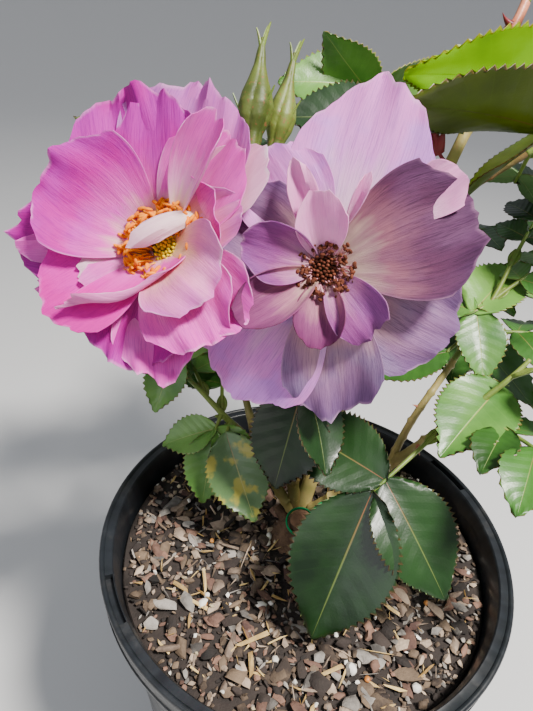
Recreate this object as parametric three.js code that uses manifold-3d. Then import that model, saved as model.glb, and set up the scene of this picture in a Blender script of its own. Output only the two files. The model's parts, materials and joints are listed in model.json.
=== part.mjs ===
// A potted rose bush: nursery pot, potting mix, trunk, canes, leafy shoots, buds and two blooms.
// Millimetres, +Z up, origin at the middle of the pot's flat underside.
// The front of the bush, with both blooms, faces -Y.
import * as THREE from 'three';
import { mergeVertices } from 'three/addons/utils/BufferGeometryUtils.js';
import Module from 'manifold-3d';

const wasm = await Module();
wasm.setup();

// Clearance between neighbouring pieces
const GAP = 0.3;

// Facets closer together than this are merged
const SIMPLIFY = 0.05;

// Pot: a thin tapered shell with a rolled rim, drainage holes and two hand slots in the rim
const POT_HEIGHT = 195;
const RIM_RADIUS = 100;
const RIM_BAND = 6;
const RIM_SKIRT = 13;
const WALL = 1.8;
const FLOOR = 2.4;
const SHOULDER_RADIUS = 93;
const BASE_RADIUS = 75;
const POT_SIDES = 44;
const DRAIN_COUNT = 5;
const DRAIN_RADIUS = 6;
const DRAIN_CIRCLE = 54;
const SLOT_AZIMUTHS = [-150.5, 29.5];
const SLOT_ARC = 15;
const SLOT_WIDTH = 3.2;
const SLOT_RADIUS = 96;

// Potting mix: fills the pot to this level, with low lumps away from the trunk
const SOIL_LEVEL = 181;
const SOIL_LUMP = 1.6;

// Trunk: a flared crown that all canes rise from, and a sawn stub leaning to the front of it.
// CROWN lists the height above the mix and the radius of each ring from the flat foot up.
const CROWN_CENTER = [-2.4, 6];
const CROWN = [[0, 15], [2.6, 12], [5.6, 10.2], [9, 9.2], [11.5, 6]];
const STUB_FOOT = [-2.4, 5, 6];
const STUB_TOP = [-2.8, 0.6, 18];
const STUB_RADII = [6, 5.2];

// Plant tie: a loose plastic ring round the stub, with a short tail that points to TIE_END
const TIE_INNER = 6.5;
const TIE_OUTER = 7.6;
const TIE_HEIGHT = 2.4;
const TIE_PLACE = 0.76;
const TIE_END = [8.2, 6, 25.5];
const TIE_TAIL = [3.2, 0.9];

// Leaves and petals
const LEAF_THICKNESS = 1.0;
const LEAF_RATIO = 0.7;
const LEAF_SIDES = 6;
const RACHIS_RADIUS = 0.95;
const SHOOT_TIP_RADIUS = 0.9;
const PETAL_THICKNESS = 1.0;
const PETAL_STEP = 16;
const GOLDEN_TURN = 137.5;

// Leaflet pairs on a rachis: place along it, angle out from it, size beside the end leaflet
const LEAFLET_PAIRS = [[0.82, 60, 0.8], [0.46, 68, 0.66]];

const RAD = Math.PI / 180;
const UP = new THREE.Vector3(0, 0, 1);
const FORK = [-2.6, 12.5, SOIL_LEVEL + 6];

// Canes and branches, each one tapering limb from the fork or from a parent limb to its leafy shoot.
// heading is [azimuth, lean from upright] where it sets out; tip and tipHeading are where it ends.
const LIMBS = [
  { name: 'cane_center', heading: [135, 22], tip: [-24, 31, 296], tipHeading: [118, 14], radii: [3.3, 2.1] },
  { name: 'cane_tall', heading: [62, 20], tip: [74, 106, 424], tipHeading: [56, 34], radii: [4.0, 2.1] },
  { name: 'cane_right', heading: [-8, 38], tip: [50, 3, 258], tipHeading: [10, 42], radii: [3.2, 2.0] },
  { name: 'cane_left', heading: [168, 46], tip: [-40, 24, 236], tipHeading: [170, 50], radii: [3.0, 1.9] },
  { name: 'cane_back', heading: [96, 42], tip: [4, 82, 300], tipHeading: [92, 18], radii: [3.4, 2.0] },
  { name: 'branch_center', parent: 'cane_center', at: 0.5, heading: [-20, 34], tip: [-4, 16, 268],
    tipHeading: [-60, 20], radii: [1.8, 1.4] },
  { name: 'branch_right', parent: 'cane_tall', at: 0.62, heading: [10, 50], tip: [76, 60, 369],
    tipHeading: [-8, 48], radii: [2.0, 1.5] },
  { name: 'branch_right_low', parent: 'cane_right', at: 0.72, heading: [62, 26], tip: [60, 30, 282],
    tipHeading: [40, 36], radii: [1.9, 1.5] },
  { name: 'branch_back_left', parent: 'cane_left', at: 0.7, heading: [118, 26], tip: [-52, 58, 286],
    tipHeading: [128, 24], radii: [2.0, 1.5] },
  { name: 'branch_back_right', parent: 'cane_tall', at: 0.34, heading: [80, 52], tip: [44, 84, 268],
    tipHeading: [64, 44], radii: [2.0, 1.5] },
];

// Leafy shoots. Each grows on from the tip of its limb to end, bowed by bow at its middle.
// aimed leaves are set one by one, where the bush is seen best: at is the place on the shoot, knee
// the foot of the end leaflet, tip its point, face the way it looks. The others follow the seeded
// rule in ruleLeaves: leaves of them, turned between the two azimuths of turns, as long as reach.
const SHOOTS = [
  {
    name: 'foliage_right', limb: 'cane_right', end: [84, 12, 296], bow: [4, -4, 4], seed: 11, leaves: 2,
    reach: 84, turns: [-60, 10],
    aimed: [
      { at: 0.12, knee: [21.5, -23.5, 246.5], tip: [-1.4, -64.6, 200], face: [-0.2, -0.6, 0.78],
        pairs: 1, spread: 76 },
      { at: 0.7, knee: [77, 14, 280], tip: [45, -23, 274], face: [0, -0.2, 1], pairs: 0 },
    ],
  },
  {
    name: 'foliage_right_middle', limb: 'branch_right_low', end: [86, 62, 326], bow: [4, -4, 0], seed: 23,
    leaves: 3, reach: 80, turns: [-10, 70],
    aimed: [
      { at: 0.3, knee: [54, 26, 288], tip: [18, 14, 283], face: [0, -0.2, 1], pairs: 0 },
      { at: 0.55, knee: [66, 40, 302], tip: [92, 68, 321], face: [-0.3, -0.6, 0.8], pairs: 1 },
    ],
  },
  {
    name: 'foliage_right_top', limb: 'branch_right', end: [108, 56, 400], bow: [6, 0, -6], seed: 35,
    leaves: 3, reach: 78, turns: [-20, 90],
    aimed: [
      { at: 0.75, knee: [70, 26, 382.5], tip: [9, 12, 397], face: [0, 0.62, 0.78], pairs: 1 },
      { at: 0.95, knee: [79, 53, 393.5], tip: [13, 42, 405], face: [0, 0.6, 0.8], pairs: 0 },
      { at: 0.05, knee: [84, 82, 352], tip: [105, 100, 357], face: [0, -0.4, 0.9], pairs: 1 },
    ],
  },
  {
    name: 'foliage_top', limb: 'cane_tall', end: [86, 126, 458], bow: [0, 0, 3], seed: 41, leaves: 4,
    reach: 90, turns: [-50, 190], aimed: [],
  },
  {
    name: 'foliage_center', limb: 'branch_center', end: [-6, 6, 294], bow: [0, -4, 0], seed: 53, leaves: 0,
    reach: 60, turns: [-170, -10],
    aimed: [
      { at: 0.6, knee: [-11, -3, 283], tip: [-20, -24, 240], face: [-0.1, -0.75, 0.6], pairs: 1 },
    ],
  },
  {
    name: 'foliage_left', limb: 'cane_left', end: [-66, 28, 262], bow: [0, 0, 2], seed: 61, leaves: 3,
    reach: 72, turns: [95, 165],
    aimed: [
      { at: 0.3, knee: [-49, 16, 238], tip: [-53, -6, 209], face: [-0.1, -0.7, 0.7], pairs: 1 },
      { at: 0.1, knee: [-43, 12, 241], tip: [-26, -18, 214], face: [-0.1, -0.7, 0.7], pairs: 0 },
      { at: 0.95, knee: [-70, 34, 270.5], tip: [-79, 12, 250], face: [-0.1, -0.5, 0.8], pairs: 1 },
    ],
  },
  {
    name: 'foliage_back_left', limb: 'branch_back_left', end: [-76, 84, 336], bow: [-4, 2, 0], seed: 71,
    leaves: 5, reach: 92, turns: [70, 210], aimed: [],
  },
  {
    name: 'foliage_back', limb: 'cane_back', end: [8, 110, 366], bow: [0, 6, 0], seed: 83, leaves: 5,
    reach: 96, turns: [50, 170],
    aimed: [
      { at: 0.9, knee: [17, 76, 374], tip: [-29, 69, 378], face: [0, -0.72, 0.7] },
      { at: 1, knee: [13.6, 99, 385], tip: [-31.6, 86, 390.6], face: [0, -0.7, 0.7], pairs: 1 },
    ],
  },
  {
    name: 'foliage_back_right', limb: 'branch_back_right', end: [62, 124, 308], bow: [2, 2, 0], seed: 97,
    leaves: 4, reach: 92, turns: [-50, 80], aimed: [],
  },
];

// Blooms: centre of the flower, the way it faces, and its petals.
// turn is the petal's direction seen from the front, 0 to the right and 90 up. lift is its slope
// above the plane of the bloom at its foot, tipLift at its tip. cup curls both edges inward.
const PETAL = {
  lift: 20, tipLift: 0, cup: 14, shoulder: 0.3, skew: 0, point: 0, notch: 0, rollRight: 0, tipRoll: 0,
  ruffle: 1.2, waves: 1.5, bend: 0, out: 3, up: 0, claw: 0.24,
};
const LILAC = {
  name: 'bloom_mauve', center: [-9.5, -9.6, 338], facing: [-0.1, -0.92, 0.38], stamens: [10, 6],
  petals: [
    { turn: 80, length: 59, width: 47, lift: 10, tipLift: -4, point: 0.06, skew: 0.06, cup: 6,
      ruffle: 2.2, shoulder: 0.4 },
    { turn: 27, length: 50, width: 46, lift: 18, tipLift: -10, cup: 12, ruffle: 2.2 },
    { turn: 42, length: 18, width: 18, lift: 14, tipLift: 8, cup: 8, out: 35, up: 3, claw: 0.7 },
    { turn: -20, length: 49, width: 47, lift: 4, tipLift: -22, cup: 6, out: 4, up: -2 },
    { turn: -78, length: 53, width: 37, lift: 6, tipLift: -22, cup: 10, ruffle: 2.2 },
    { turn: -118, length: 57, width: 45, lift: 4, tipLift: -20, cup: 6, up: -1.5 },
    { turn: -141, length: 55, width: 36, lift: -4, tipLift: -26, cup: 4, up: -3 },
    { turn: 126, length: 42, width: 34, lift: 16, tipLift: 0, cup: 10, up: -1 },
    { turn: 158, length: 37, width: 36, lift: 18, tipLift: 2, up: -1 },
    { turn: 168, length: 31, width: 24, lift: 50, tipLift: 22, cup: 24, rollRight: 50 },
    { turn: 216, length: 38, width: 24, lift: 38, tipLift: 26, cup: 40, tipRoll: 40 },
    { turn: 114, length: 36, width: 11, lift: 34, tipLift: 14, cup: 24 },
    { turn: 102, length: 27, width: 19, lift: 50, tipLift: 26, cup: 24 },
    { turn: 72, length: 18, width: 7, lift: 40, tipLift: 10, cup: 50, out: 16, up: 7 },
    { turn: -46, length: 29, width: 21, lift: 42, tipLift: -4, cup: 20, tipRoll: -60 },
    { turn: -88, length: 26, width: 24, lift: 26, tipLift: 20, cup: 40 },
  ],
};
const PINK = {
  name: 'bloom_pink', center: [-67.5, -5.7, 338.6], facing: [-0.19, -0.81, 0.55], stamens: [12, 8],
  petals: [
    { turn: 81, length: 53, width: 50, lift: 22, tipLift: 8, up: -1.5, ruffle: 2.2, waves: 2.4 },
    { turn: 109, length: 50, width: 46, lift: 27, tipLift: 14, ruffle: 2.4, waves: 2, up: -1 },
    { turn: 94, length: 47, width: 30, lift: 28, tipLift: 16, ruffle: 1.8, waves: 2 },
    { turn: 155, length: 43, width: 46, lift: 36, tipLift: 16, cup: 16, ruffle: 1.8 },
    { turn: 186, length: 49, width: 38, lift: 20, tipLift: 4, point: 0.1, up: -2 },
    { turn: 194, length: 46, width: 15, lift: 34, tipLift: 4, cup: -24 },
    { turn: 211, length: 45, width: 34, lift: 18, tipLift: -10, ruffle: 3.4, waves: 3, up: -2.5 },
    { turn: 226, length: 42, width: 36, lift: 28, tipLift: 8, ruffle: 1.6 },
    { turn: 295, length: 26, width: 40, lift: 46, tipLift: 30, tipRoll: 150, cup: 12, bend: 1.05, up: 1.5 },
    { turn: 271, length: 41, width: 42, lift: 22, tipLift: -2, ruffle: 2.6, waves: 2, up: -1 },
    { turn: 287, length: 44, width: 34, lift: 20, tipLift: 0, point: 0.08, ruffle: 2, up: -2 },
    { turn: 315, length: 42, width: 36, lift: 30, tipLift: 8, ruffle: 1.8 },
    { turn: 330, length: 43, width: 32, lift: 26, tipLift: 8, up: -1.5 },
    { turn: 332, length: 36, width: 36, lift: 50, tipLift: 34, tipRoll: -80, cup: 16 },
    { turn: 27, length: 34, width: 24, lift: 30, tipLift: 20, up: -1 },
    { turn: 45, length: 48, width: 24, lift: 22, tipLift: 14, up: -2 },
    { turn: 57, length: 43, width: 34, lift: 28, tipLift: 14, ruffle: 2, up: -1 },
    { turn: 62, length: 40, width: 20, lift: 42, tipLift: 24, cup: 44, notch: 0.12, out: 12, up: 4 },
    { turn: 36, length: 20, width: 26, lift: 58, tipLift: 50, out: 15, cup: 10 },
    { turn: 44, length: 34, width: 15, lift: 95, tipLift: 200, out: 19, cup: 20, ruffle: 2.4, waves: 3 },
    { turn: 224, length: 27, width: 14, lift: 28, tipLift: 26, cup: 10 },
    { turn: 217, length: 24, width: 16, lift: 42, tipLift: 10, out: 6 },
  ],
};

// Flower stalks rise from the cluster's fork to the two blooms and the two buds
const CLUSTER_FORK = [-27, 37, 318];
const HIP = [4.4, 6];
const HIP_DROP = 9;
// Radius along a bud from its foot to its point, as a share of the widest
const BUD_STATIONS = [0.5, 0.56, 0.88, 1, 0.84, 0.56, 0.34, 0.24, 0.1];
const BUDS = [
  { foot: [-40.3, 40, 366], top: [-39.2, 60.7, 403], radius: 7 },
  { foot: [-31.6, 51.5, 361.3], top: [-26.1, 70.5, 398.4], radius: 6.1 },
];

function vector(list) {
  return new THREE.Vector3(list[0], list[1], list[2]);
}

// Unit vector from an azimuth and a lean from upright, both in degrees
function headingVector([azimuth, lean]) {
  const level = Math.sin(lean * RAD);
  return new THREE.Vector3(
    level * Math.cos(azimuth * RAD), level * Math.sin(azimuth * RAD), Math.cos(lean * RAD));
}

function smooth(low, high, value) {
  const t = Math.min(1, Math.max(0, (value - low) / (high - low)));
  return t * t * (3 - 2 * t);
}

// Repeatable random numbers between 0 and 1
function makeRandom(seed) {
  let state = seed >>> 0;
  return () => {
    state = (Math.imul(state, 1664525) + 1013904223) >>> 0;
    return state / 4294967296;
  };
}

// A closed solid from a geometry whose shared vertices are merged
function toSolid(geometry) {
  geometry.deleteAttribute('normal');
  geometry.deleteAttribute('uv');
  const merged = mergeVertices(geometry, 1e-4);
  return new wasm.Manifold(new wasm.Mesh({
    numProp: 3,
    vertProperties: new Float32Array(merged.attributes.position.array),
    triVerts: new Uint32Array(merged.index.array),
  }));
}

// Moves every vertex of a geometry to the point that place(x, y, z) gives
function shape(geometry, place) {
  const position = geometry.attributes.position;
  for (let i = 0; i < position.count; i += 1) {
    const point = place(position.getX(i), position.getY(i), position.getZ(i));
    position.setXYZ(i, point.x, point.y, point.z);
  }
  return toSolid(geometry);
}

function joinAll(solids) {
  return solids.reduce((whole, solid) => whole.add(solid));
}

// The largest body alone: sealed hollows are filled and loose scraps dropped
function mainBody(solid) {
  const bodies = solid.decompose();
  const body = bodies.reduce((best, other) => (other.volume() > best.volume() ? other : best));
  return body.asOriginal().simplify(SIMPLIFY);
}

// A point as an offset from a curve: side and rise are measured square to it
function offCurve(curve, t, side, rise, reference) {
  const tangent = curve.getTangent(t);
  const across = new THREE.Vector3().crossVectors(tangent, reference).normalize();
  const over = new THREE.Vector3().crossVectors(across, tangent);
  return curve.getPoint(t).addScaledVector(across, side).addScaledVector(over, rise);
}

// A tapering round limb along a curve, with flat ends
function limbSolid(curve, radiusAt, sides, steps, reference = new THREE.Vector3(1, 0, 0)) {
  const rod = new THREE.CylinderGeometry(1, 1, 1, sides, steps);
  return shape(rod, (x, y, z) => {
    const t = y + 0.5;
    const radius = radiusAt(t);
    return offCurve(curve, t, x * radius, z * radius, reference);
  });
}

// A cubic curve that leaves one point and reaches the other along given directions
function limbCurve(from, fromWay, to, toWay) {
  const pull = from.distanceTo(to) / 3;
  return new THREE.CubicBezierCurve3(
    from, from.clone().addScaledVector(fromWay, pull), to.clone().addScaledVector(toWay, -pull), to);
}

function taper([foot, tip]) {
  return (t) => foot + (tip - foot) * t;
}

function materialOf(color, roughness, metalness = 0) {
  return new THREE.MeshStandardMaterial({ color, roughness, metalness });
}

const group = new THREE.Group();
const placed = [];

// Adds a finished solid to the model and remembers its space for its neighbours
function addNode(name, solid, material) {
  const { vertProperties, triVerts } = solid.getMesh();
  const geometry = new THREE.BufferGeometry();
  geometry.setAttribute('position', new THREE.BufferAttribute(vertProperties, 3));
  geometry.setIndex(new THREE.BufferAttribute(triVerts, 1));
  geometry.computeVertexNormals();
  const mesh = new THREE.Mesh(geometry, material);
  mesh.name = name;
  group.add(mesh);
  placed.push(solid);
}

function boxesMeet(a, b) {
  return [0, 1, 2].every((k) => a.min[k] < b.max[k] + GAP && b.min[k] < a.max[k] + GAP);
}

function touchesPlaced(solid) {
  const box = solid.boundingBox();
  return placed.some((other) => boxesMeet(box, other.boundingBox()) && !solid.intersect(other).isEmpty());
}

// Pot
function lathe(profile, sides) {
  const points = profile.map(([r, z]) => new THREE.Vector2(r, z));
  const geometry = new THREE.LatheGeometry(points, sides);
  geometry.rotateX(Math.PI / 2);
  return toSolid(geometry);
}

// Radius of the pot's inner wall at a height
function innerRadius(z) {
  const slope = (SHOULDER_RADIUS - BASE_RADIUS) / (POT_HEIGHT - RIM_SKIRT - FLOOR);
  return BASE_RADIUS - WALL + slope * (z - FLOOR);
}

function potSolid() {
  const top = POT_HEIGHT;
  const skirtFoot = top - RIM_SKIRT;
  const shell = lathe([
    [0, 0], [BASE_RADIUS - 2, 0], [BASE_RADIUS, 2], [SHOULDER_RADIUS, skirtFoot],
    [RIM_RADIUS - 0.6, skirtFoot], [RIM_RADIUS, top - 1.4], [RIM_RADIUS - 1.2, top],
    [RIM_RADIUS - 2.4, top - 0.5], [RIM_RADIUS - RIM_BAND, top - 1], [SHOULDER_RADIUS - WALL, skirtFoot],
    [BASE_RADIUS - WALL, FLOOR], [0, FLOOR], [0, 0],
  ], POT_SIDES);
  return [...drainCutters(), ...slotCutters()].reduce((pot, cutter) => pot.subtract(cutter), shell);
}

function drainCutters() {
  return Array.from({ length: DRAIN_COUNT }, (_, i) => {
    const angle = (i + 0.5) * 2 * Math.PI / DRAIN_COUNT;
    const hole = new THREE.CylinderGeometry(DRAIN_RADIUS, DRAIN_RADIUS, 3 * FLOOR, 12);
    hole.rotateX(Math.PI / 2);
    hole.translate(DRAIN_CIRCLE * Math.cos(angle), DRAIN_CIRCLE * Math.sin(angle), FLOOR / 2);
    return toSolid(hole);
  });
}

function slotCutters() {
  return SLOT_AZIMUTHS.map((azimuth) => {
    const bar = new THREE.BoxGeometry(1, SLOT_WIDTH, 3.6, 4, 1, 1);
    return shape(bar, (x, y, z) => {
      const angle = (azimuth + x * SLOT_ARC) * RAD;
      const radius = SLOT_RADIUS + y;
      return new THREE.Vector3(radius * Math.cos(angle), radius * Math.sin(angle), POT_HEIGHT - 2.2 + z);
    });
  });
}

// Potting mix
function soilSolid() {
  const random = makeRandom(5);
  const rings = [0, 24, 44, 62, 78];
  const edge = innerRadius(SOIL_LEVEL) - GAP;
  const floorEdge = innerRadius(FLOOR) - GAP;
  const profile = [
    [0, FLOOR + GAP], [floorEdge, FLOOR + GAP], [edge, SOIL_LEVEL],
    ...rings.slice(1).reverse().map((r) => [r, SOIL_LEVEL]), [0, SOIL_LEVEL], [0, FLOOR + GAP],
  ];
  const geometry = new THREE.LatheGeometry(profile.map(([r, z]) => new THREE.Vector2(r, z)), POT_SIDES);
  geometry.rotateX(Math.PI / 2);
  const heights = new Map();
  return shape(geometry, (x, y, z) => {
    const radius = Math.hypot(x, y);
    if (z < SOIL_LEVEL - 1 || radius < 30 || radius > 80) {
      return new THREE.Vector3(x, y, z);
    }
    const key = `${Math.round(x * 10)} ${Math.round(y * 10)}`;
    if (!heights.has(key)) {
      heights.set(key, (random() - 0.6) * SOIL_LUMP);
    }
    return new THREE.Vector3(x, y, z + heights.get(key));
  });
}

// Trunk
function aboveMix([x, y, height]) {
  return new THREE.Vector3(x, y, SOIL_LEVEL + height);
}

function trunkSolid(extra = 0) {
  const last = CROWN.length - 1;
  const crown = shape(new THREE.CylinderGeometry(1, 1, 1, 14, last), (x, y, z) => {
    const [height, radius] = CROWN[Math.round((y + 0.5) * last)];
    const lumpy = 1 + 0.07 * Math.sin(3 * Math.atan2(z, x) + 1);
    const size = radius * lumpy + extra;
    const rise = extra * Math.sign(y) + (height === 0 ? GAP : 0);
    return aboveMix([CROWN_CENTER[0] + x * size, CROWN_CENTER[1] - z * size, height + rise]);
  });
  const stub = limbSolid(stubAxis(), (t) => taper(STUB_RADII)(t) + extra, 12, 2);
  return crown.add(stub);
}

function stubAxis() {
  return new THREE.LineCurve3(aboveMix(STUB_FOOT), aboveMix(STUB_TOP));
}

// Plant tie
function tieSolid() {
  const axis = stubAxis();
  const center = axis.getPoint(TIE_PLACE);
  const way = axis.getTangent(TIE_PLACE);
  const tilt = new THREE.Quaternion().setFromUnitVectors(UP, way);
  const half = TIE_HEIGHT / 2;
  const profile = [
    [TIE_INNER, -half], [TIE_OUTER, -half], [TIE_OUTER, half], [TIE_INNER, half], [TIE_INNER, -half],
  ];
  const ring = new THREE.LatheGeometry(profile.map(([r, z]) => new THREE.Vector2(r, z)), 20);
  ring.rotateX(Math.PI / 2);
  ring.applyQuaternion(tilt);
  ring.translate(center.x, center.y, center.z);
  const end = aboveMix(TIE_END);
  const outward = end.clone().sub(center);
  outward.addScaledVector(way, -outward.dot(way)).normalize();
  const foot = center.clone().addScaledVector(outward, (TIE_INNER + TIE_OUTER) / 2);
  const tail = new THREE.LineCurve3(foot, end);
  const [width, thickness] = TIE_TAIL;
  const strip = shape(new THREE.BoxGeometry(width, 1, thickness), (x, y, z) => (
    offCurve(tail, y + 0.5, x, z, way)));
  return toSolid(ring).add(strip);
}

// Limbs
const limbs = new Map();

function buildLimbs() {
  const trunkSpace = trunkSolid(GAP);
  LIMBS.forEach((limb) => {
    const parent = limbs.get(limb.parent);
    const from = parent ? parent.curve.getPoint(limb.at) : vector(FORK);
    const curve = limbCurve(from, headingVector(limb.heading), vector(limb.tip),
      headingVector(limb.tipHeading));
    const radius = taper(limb.radii);
    const steps = parent ? 7 : 10;
    const whole = limbSolid(curve, radius, 7, steps);
    const neighbours = [trunkSpace, ...[...limbs.values()].map((other) => other.space)];
    const solid = mainBody(neighbours.reduce((body, space) => body.subtract(space), whole));
    const space = limbSolid(curve, (t) => radius(t) + GAP, 7, steps);
    limbs.set(limb.name, { curve, radius, solid, space });
    addNode(limb.name, solid, materialOf(parent ? 0x6f5a2c : 0x8a8450, 0.6));
  });
}

// Leaves. A leaf is a rachis with leaflets in pairs and one at its end.
function leafletProfile(s) {
  return Math.pow(Math.sin(Math.PI * Math.pow(s, 0.85)), 0.75);
}

function leafletSolid({ foot, way, normal, length }) {
  const across = new THREE.Vector3().crossVectors(normal, way).normalize();
  const over = new THREE.Vector3().crossVectors(way, across);
  const halfWidth = length * LEAF_RATIO / 2;
  const blade = new THREE.SphereGeometry(1, LEAF_SIDES, 2);
  return shape(blade, (x, y, z) => {
    const s = (x + 1) / 2;
    const width = Math.abs(y) > 0.5 ? 0 : halfWidth * leafletProfile(Math.min(0.999, Math.max(0.001, s)));
    const side = Math.sign(Math.round(z * 1000)) * width;
    const rise = 0.22 * Math.abs(side) - 0.16 * length * s * s + (y * LEAF_THICKNESS) / 2;
    return foot.clone().addScaledVector(way, s * length - 1)
      .addScaledVector(across, -side).addScaledVector(over, rise);
  });
}

// The leaflets and rachis of one leaf, from its foot on the shoot to the tip of its end leaflet
function leafPlan({ foot, knee, tip, face, pairs = 2, spread }) {
  const endWay = tip.clone().sub(knee);
  const length = endWay.length();
  endWay.normalize();
  const reach = foot.distanceTo(knee);
  const normal = face.clone().addScaledVector(endWay, -face.dot(endWay)).normalize();
  const middle = foot.clone().lerp(knee, 0.5).addScaledVector(normal, 0.1 * reach);
  const rachis = new THREE.QuadraticBezierCurve3(foot, middle, knee);
  const leaflets = [{ foot: knee, way: endWay, normal, length }];
  const stations = LEAFLET_PAIRS.slice(0, pairs);
  stations.forEach(([at, usual, size]) => {
    const angle = (spread ?? usual) * RAD;
    const tangent = rachis.getTangent(at);
    const over = normal.clone().addScaledVector(tangent, -normal.dot(tangent)).normalize();
    const across = new THREE.Vector3().crossVectors(over, tangent);
    [-1, 1].forEach((side) => {
      const way = tangent.clone().multiplyScalar(Math.cos(angle))
        .addScaledVector(across, side * Math.sin(angle)).addScaledVector(over, -0.1).normalize();
      const tilted = over.clone().addScaledVector(across, side * 0.12);
      const straight = tilted.addScaledVector(way, -tilted.dot(way)).normalize();
      leaflets.push({ foot: rachis.getPoint(at), way, normal: straight, length: length * size });
    });
  });
  return { rachis, normal, leaflets };
}

function leafSolid(leaf) {
  const { rachis, normal, leaflets } = leafPlan(leaf);
  const stalk = limbSolid(rachis, taper([RACHIS_RADIUS * 1.25, RACHIS_RADIUS]), 3, 2, normal);
  return joinAll([stalk, ...leaflets.map(leafletSolid)]);
}

// Leaves along a shoot by rule: a golden turn between them within the shoot's own turns, smaller
// and steeper towards its tip
function ruleLeaves(shoot, curve) {
  const random = makeRandom(shoot.seed);
  const [low, high] = shoot.turns;
  return Array.from({ length: shoot.leaves }, (_, i) => {
    const at = 0.16 + 0.84 * (i + 0.5) / shoot.leaves;
    const turn = low + ((i * GOLDEN_TURN + 40 * random() + 3600) % 360) * (high - low) / 360;
    const rise = -14 + 44 * at + 16 * (random() - 0.5);
    const reach = shoot.reach * (1.1 - 0.3 * at) * (0.9 + 0.2 * random());
    const foot = curve.getPoint(at);
    const way = headingVector([turn, 90 - rise]);
    const blade = reach * 0.5;
    const knee = foot.clone().addScaledVector(way, reach - blade).addScaledVector(UP, 0.08 * reach);
    const tip = foot.clone().addScaledVector(way, reach);
    const face = UP.clone().addScaledVector(way, 0.3 + 0.3 * random());
    return { foot, knee, tip, face };
  });
}

function aimedLeaves(shoot, curve) {
  return shoot.aimed.map((leaf) => ({
    foot: curve.getPoint(leaf.at), knee: vector(leaf.knee), tip: vector(leaf.tip), face: vector(leaf.face),
    pairs: leaf.pairs, spread: leaf.spread,
  }));
}

function shootCurve(shoot, limb) {
  const way = limb.curve.getTangent(1);
  const from = limb.curve.getPoint(1).addScaledVector(way, GAP);
  const end = vector(shoot.end);
  const middle = from.clone().lerp(end, 0.5).add(vector(shoot.bow));
  const first = from.clone().addScaledVector(way, 0.4 * from.distanceTo(middle));
  return new THREE.CubicBezierCurve3(from, first, middle.lerp(end, 1 / 3), end);
}

function buildShoots() {
  SHOOTS.forEach((shoot, index) => {
    const limb = limbs.get(shoot.limb);
    const curve = shootCurve(shoot, limb);
    const stem = limbSolid(curve, taper([limb.radius(1), SHOOT_TIP_RADIUS]), 5, 6);
    const leaves = [...aimedLeaves(shoot, curve), ...ruleLeaves(shoot, curve)]
      .map(leafSolid).filter((leaf) => !touchesPlaced(leaf));
    const color = index % 2 ? 0x3f5d2c : 0x35512a;
    addNode(shoot.name, mainBody(joinAll([stem, ...leaves])), materialOf(color, 0.5));
  });
}

// Blooms
function bloomFrame(bloom) {
  const axis = vector(bloom.facing).normalize();
  const right = new THREE.Vector3().crossVectors(UP, axis).normalize();
  const over = new THREE.Vector3().crossVectors(axis, right);
  return { center: vector(bloom.center), axis, right, over };
}

// The midline of a petal: distance out and height above its foot, and its slope
function petalMidline(petal, reach) {
  const steps = 20;
  let out = 0;
  let height = 0;
  let slope = petal.lift;
  for (let i = 0; i < steps; i += 1) {
    const s = (i + 0.5) * reach / steps;
    slope = petal.lift + (petal.tipLift - petal.lift) * s + petal.tipRoll * smooth(0.65, 1, s);
    out += Math.cos(slope * RAD) * petal.length * reach / steps;
    height += Math.sin(slope * RAD) * petal.length * reach / steps;
  }
  return { out, height, slope: slope * RAD };
}

// The cross-section of a petal at u from its midline, for a half width of 1
function petalSection(petal, u) {
  const steps = 8;
  const roll = u < 0 ? 0 : petal.rollRight;
  let side = 0;
  let rise = 0;
  let angle = 0;
  for (let i = 0; i < steps; i += 1) {
    const q = (i + 0.5) * Math.abs(u) / steps;
    angle = (petal.cup * 2 * q + roll * smooth(0.5, 1, q)) * RAD;
    side += Math.cos(angle) * Math.abs(u) / steps;
    rise += Math.sin(angle) * Math.abs(u) / steps;
  }
  return { side: side * Math.sign(u), rise, angle: angle * Math.sign(u) };
}

function petalWidth(petal, s) {
  const body = Math.pow(Math.sin(Math.PI / 2 * Math.min(1, s / 0.66)), 1.15);
  const shrink = 1 - 0.14 * Math.pow(Math.max(0, (s - 0.66) / 0.34), 2);
  return petal.width / 2 * (petal.claw + (1 - petal.claw) * body) * shrink;
}

function petalPoint(frame, petal, u, v, offset) {
  const edge = 1 - petal.shoulder * Math.pow(Math.abs(u), 2.4) + petal.skew * u
    + petal.point * Math.exp(-Math.pow(u / 0.14, 2)) - petal.notch * Math.exp(-Math.pow(u / 0.2, 2));
  const s = v * edge;
  const { out, height, slope } = petalMidline(petal, s);
  const section = petalSection(petal, u);
  const half = petalWidth(petal, s);
  const wave = petal.ruffle * s * s * s * Math.sin(Math.PI * petal.waves * u);
  const turn = petal.turn * RAD;
  const outward = frame.right.clone().multiplyScalar(Math.cos(turn))
    .addScaledVector(frame.over, Math.sin(turn));
  const across = new THREE.Vector3().crossVectors(outward, frame.axis);
  const normal = frame.axis.clone().multiplyScalar(Math.cos(slope))
    .addScaledVector(outward, -Math.sin(slope));
  const face = normal.clone().multiplyScalar(Math.cos(section.angle))
    .addScaledVector(across, -Math.sin(section.angle));
  return frame.center.clone()
    .addScaledVector(outward, petal.out + out)
    .addScaledVector(frame.axis, petal.up + height)
    .addScaledVector(across, half * section.side + petal.bend * petal.length * s * s)
    .addScaledVector(normal, half * section.rise + wave)
    .addScaledVector(face, offset);
}

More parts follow.
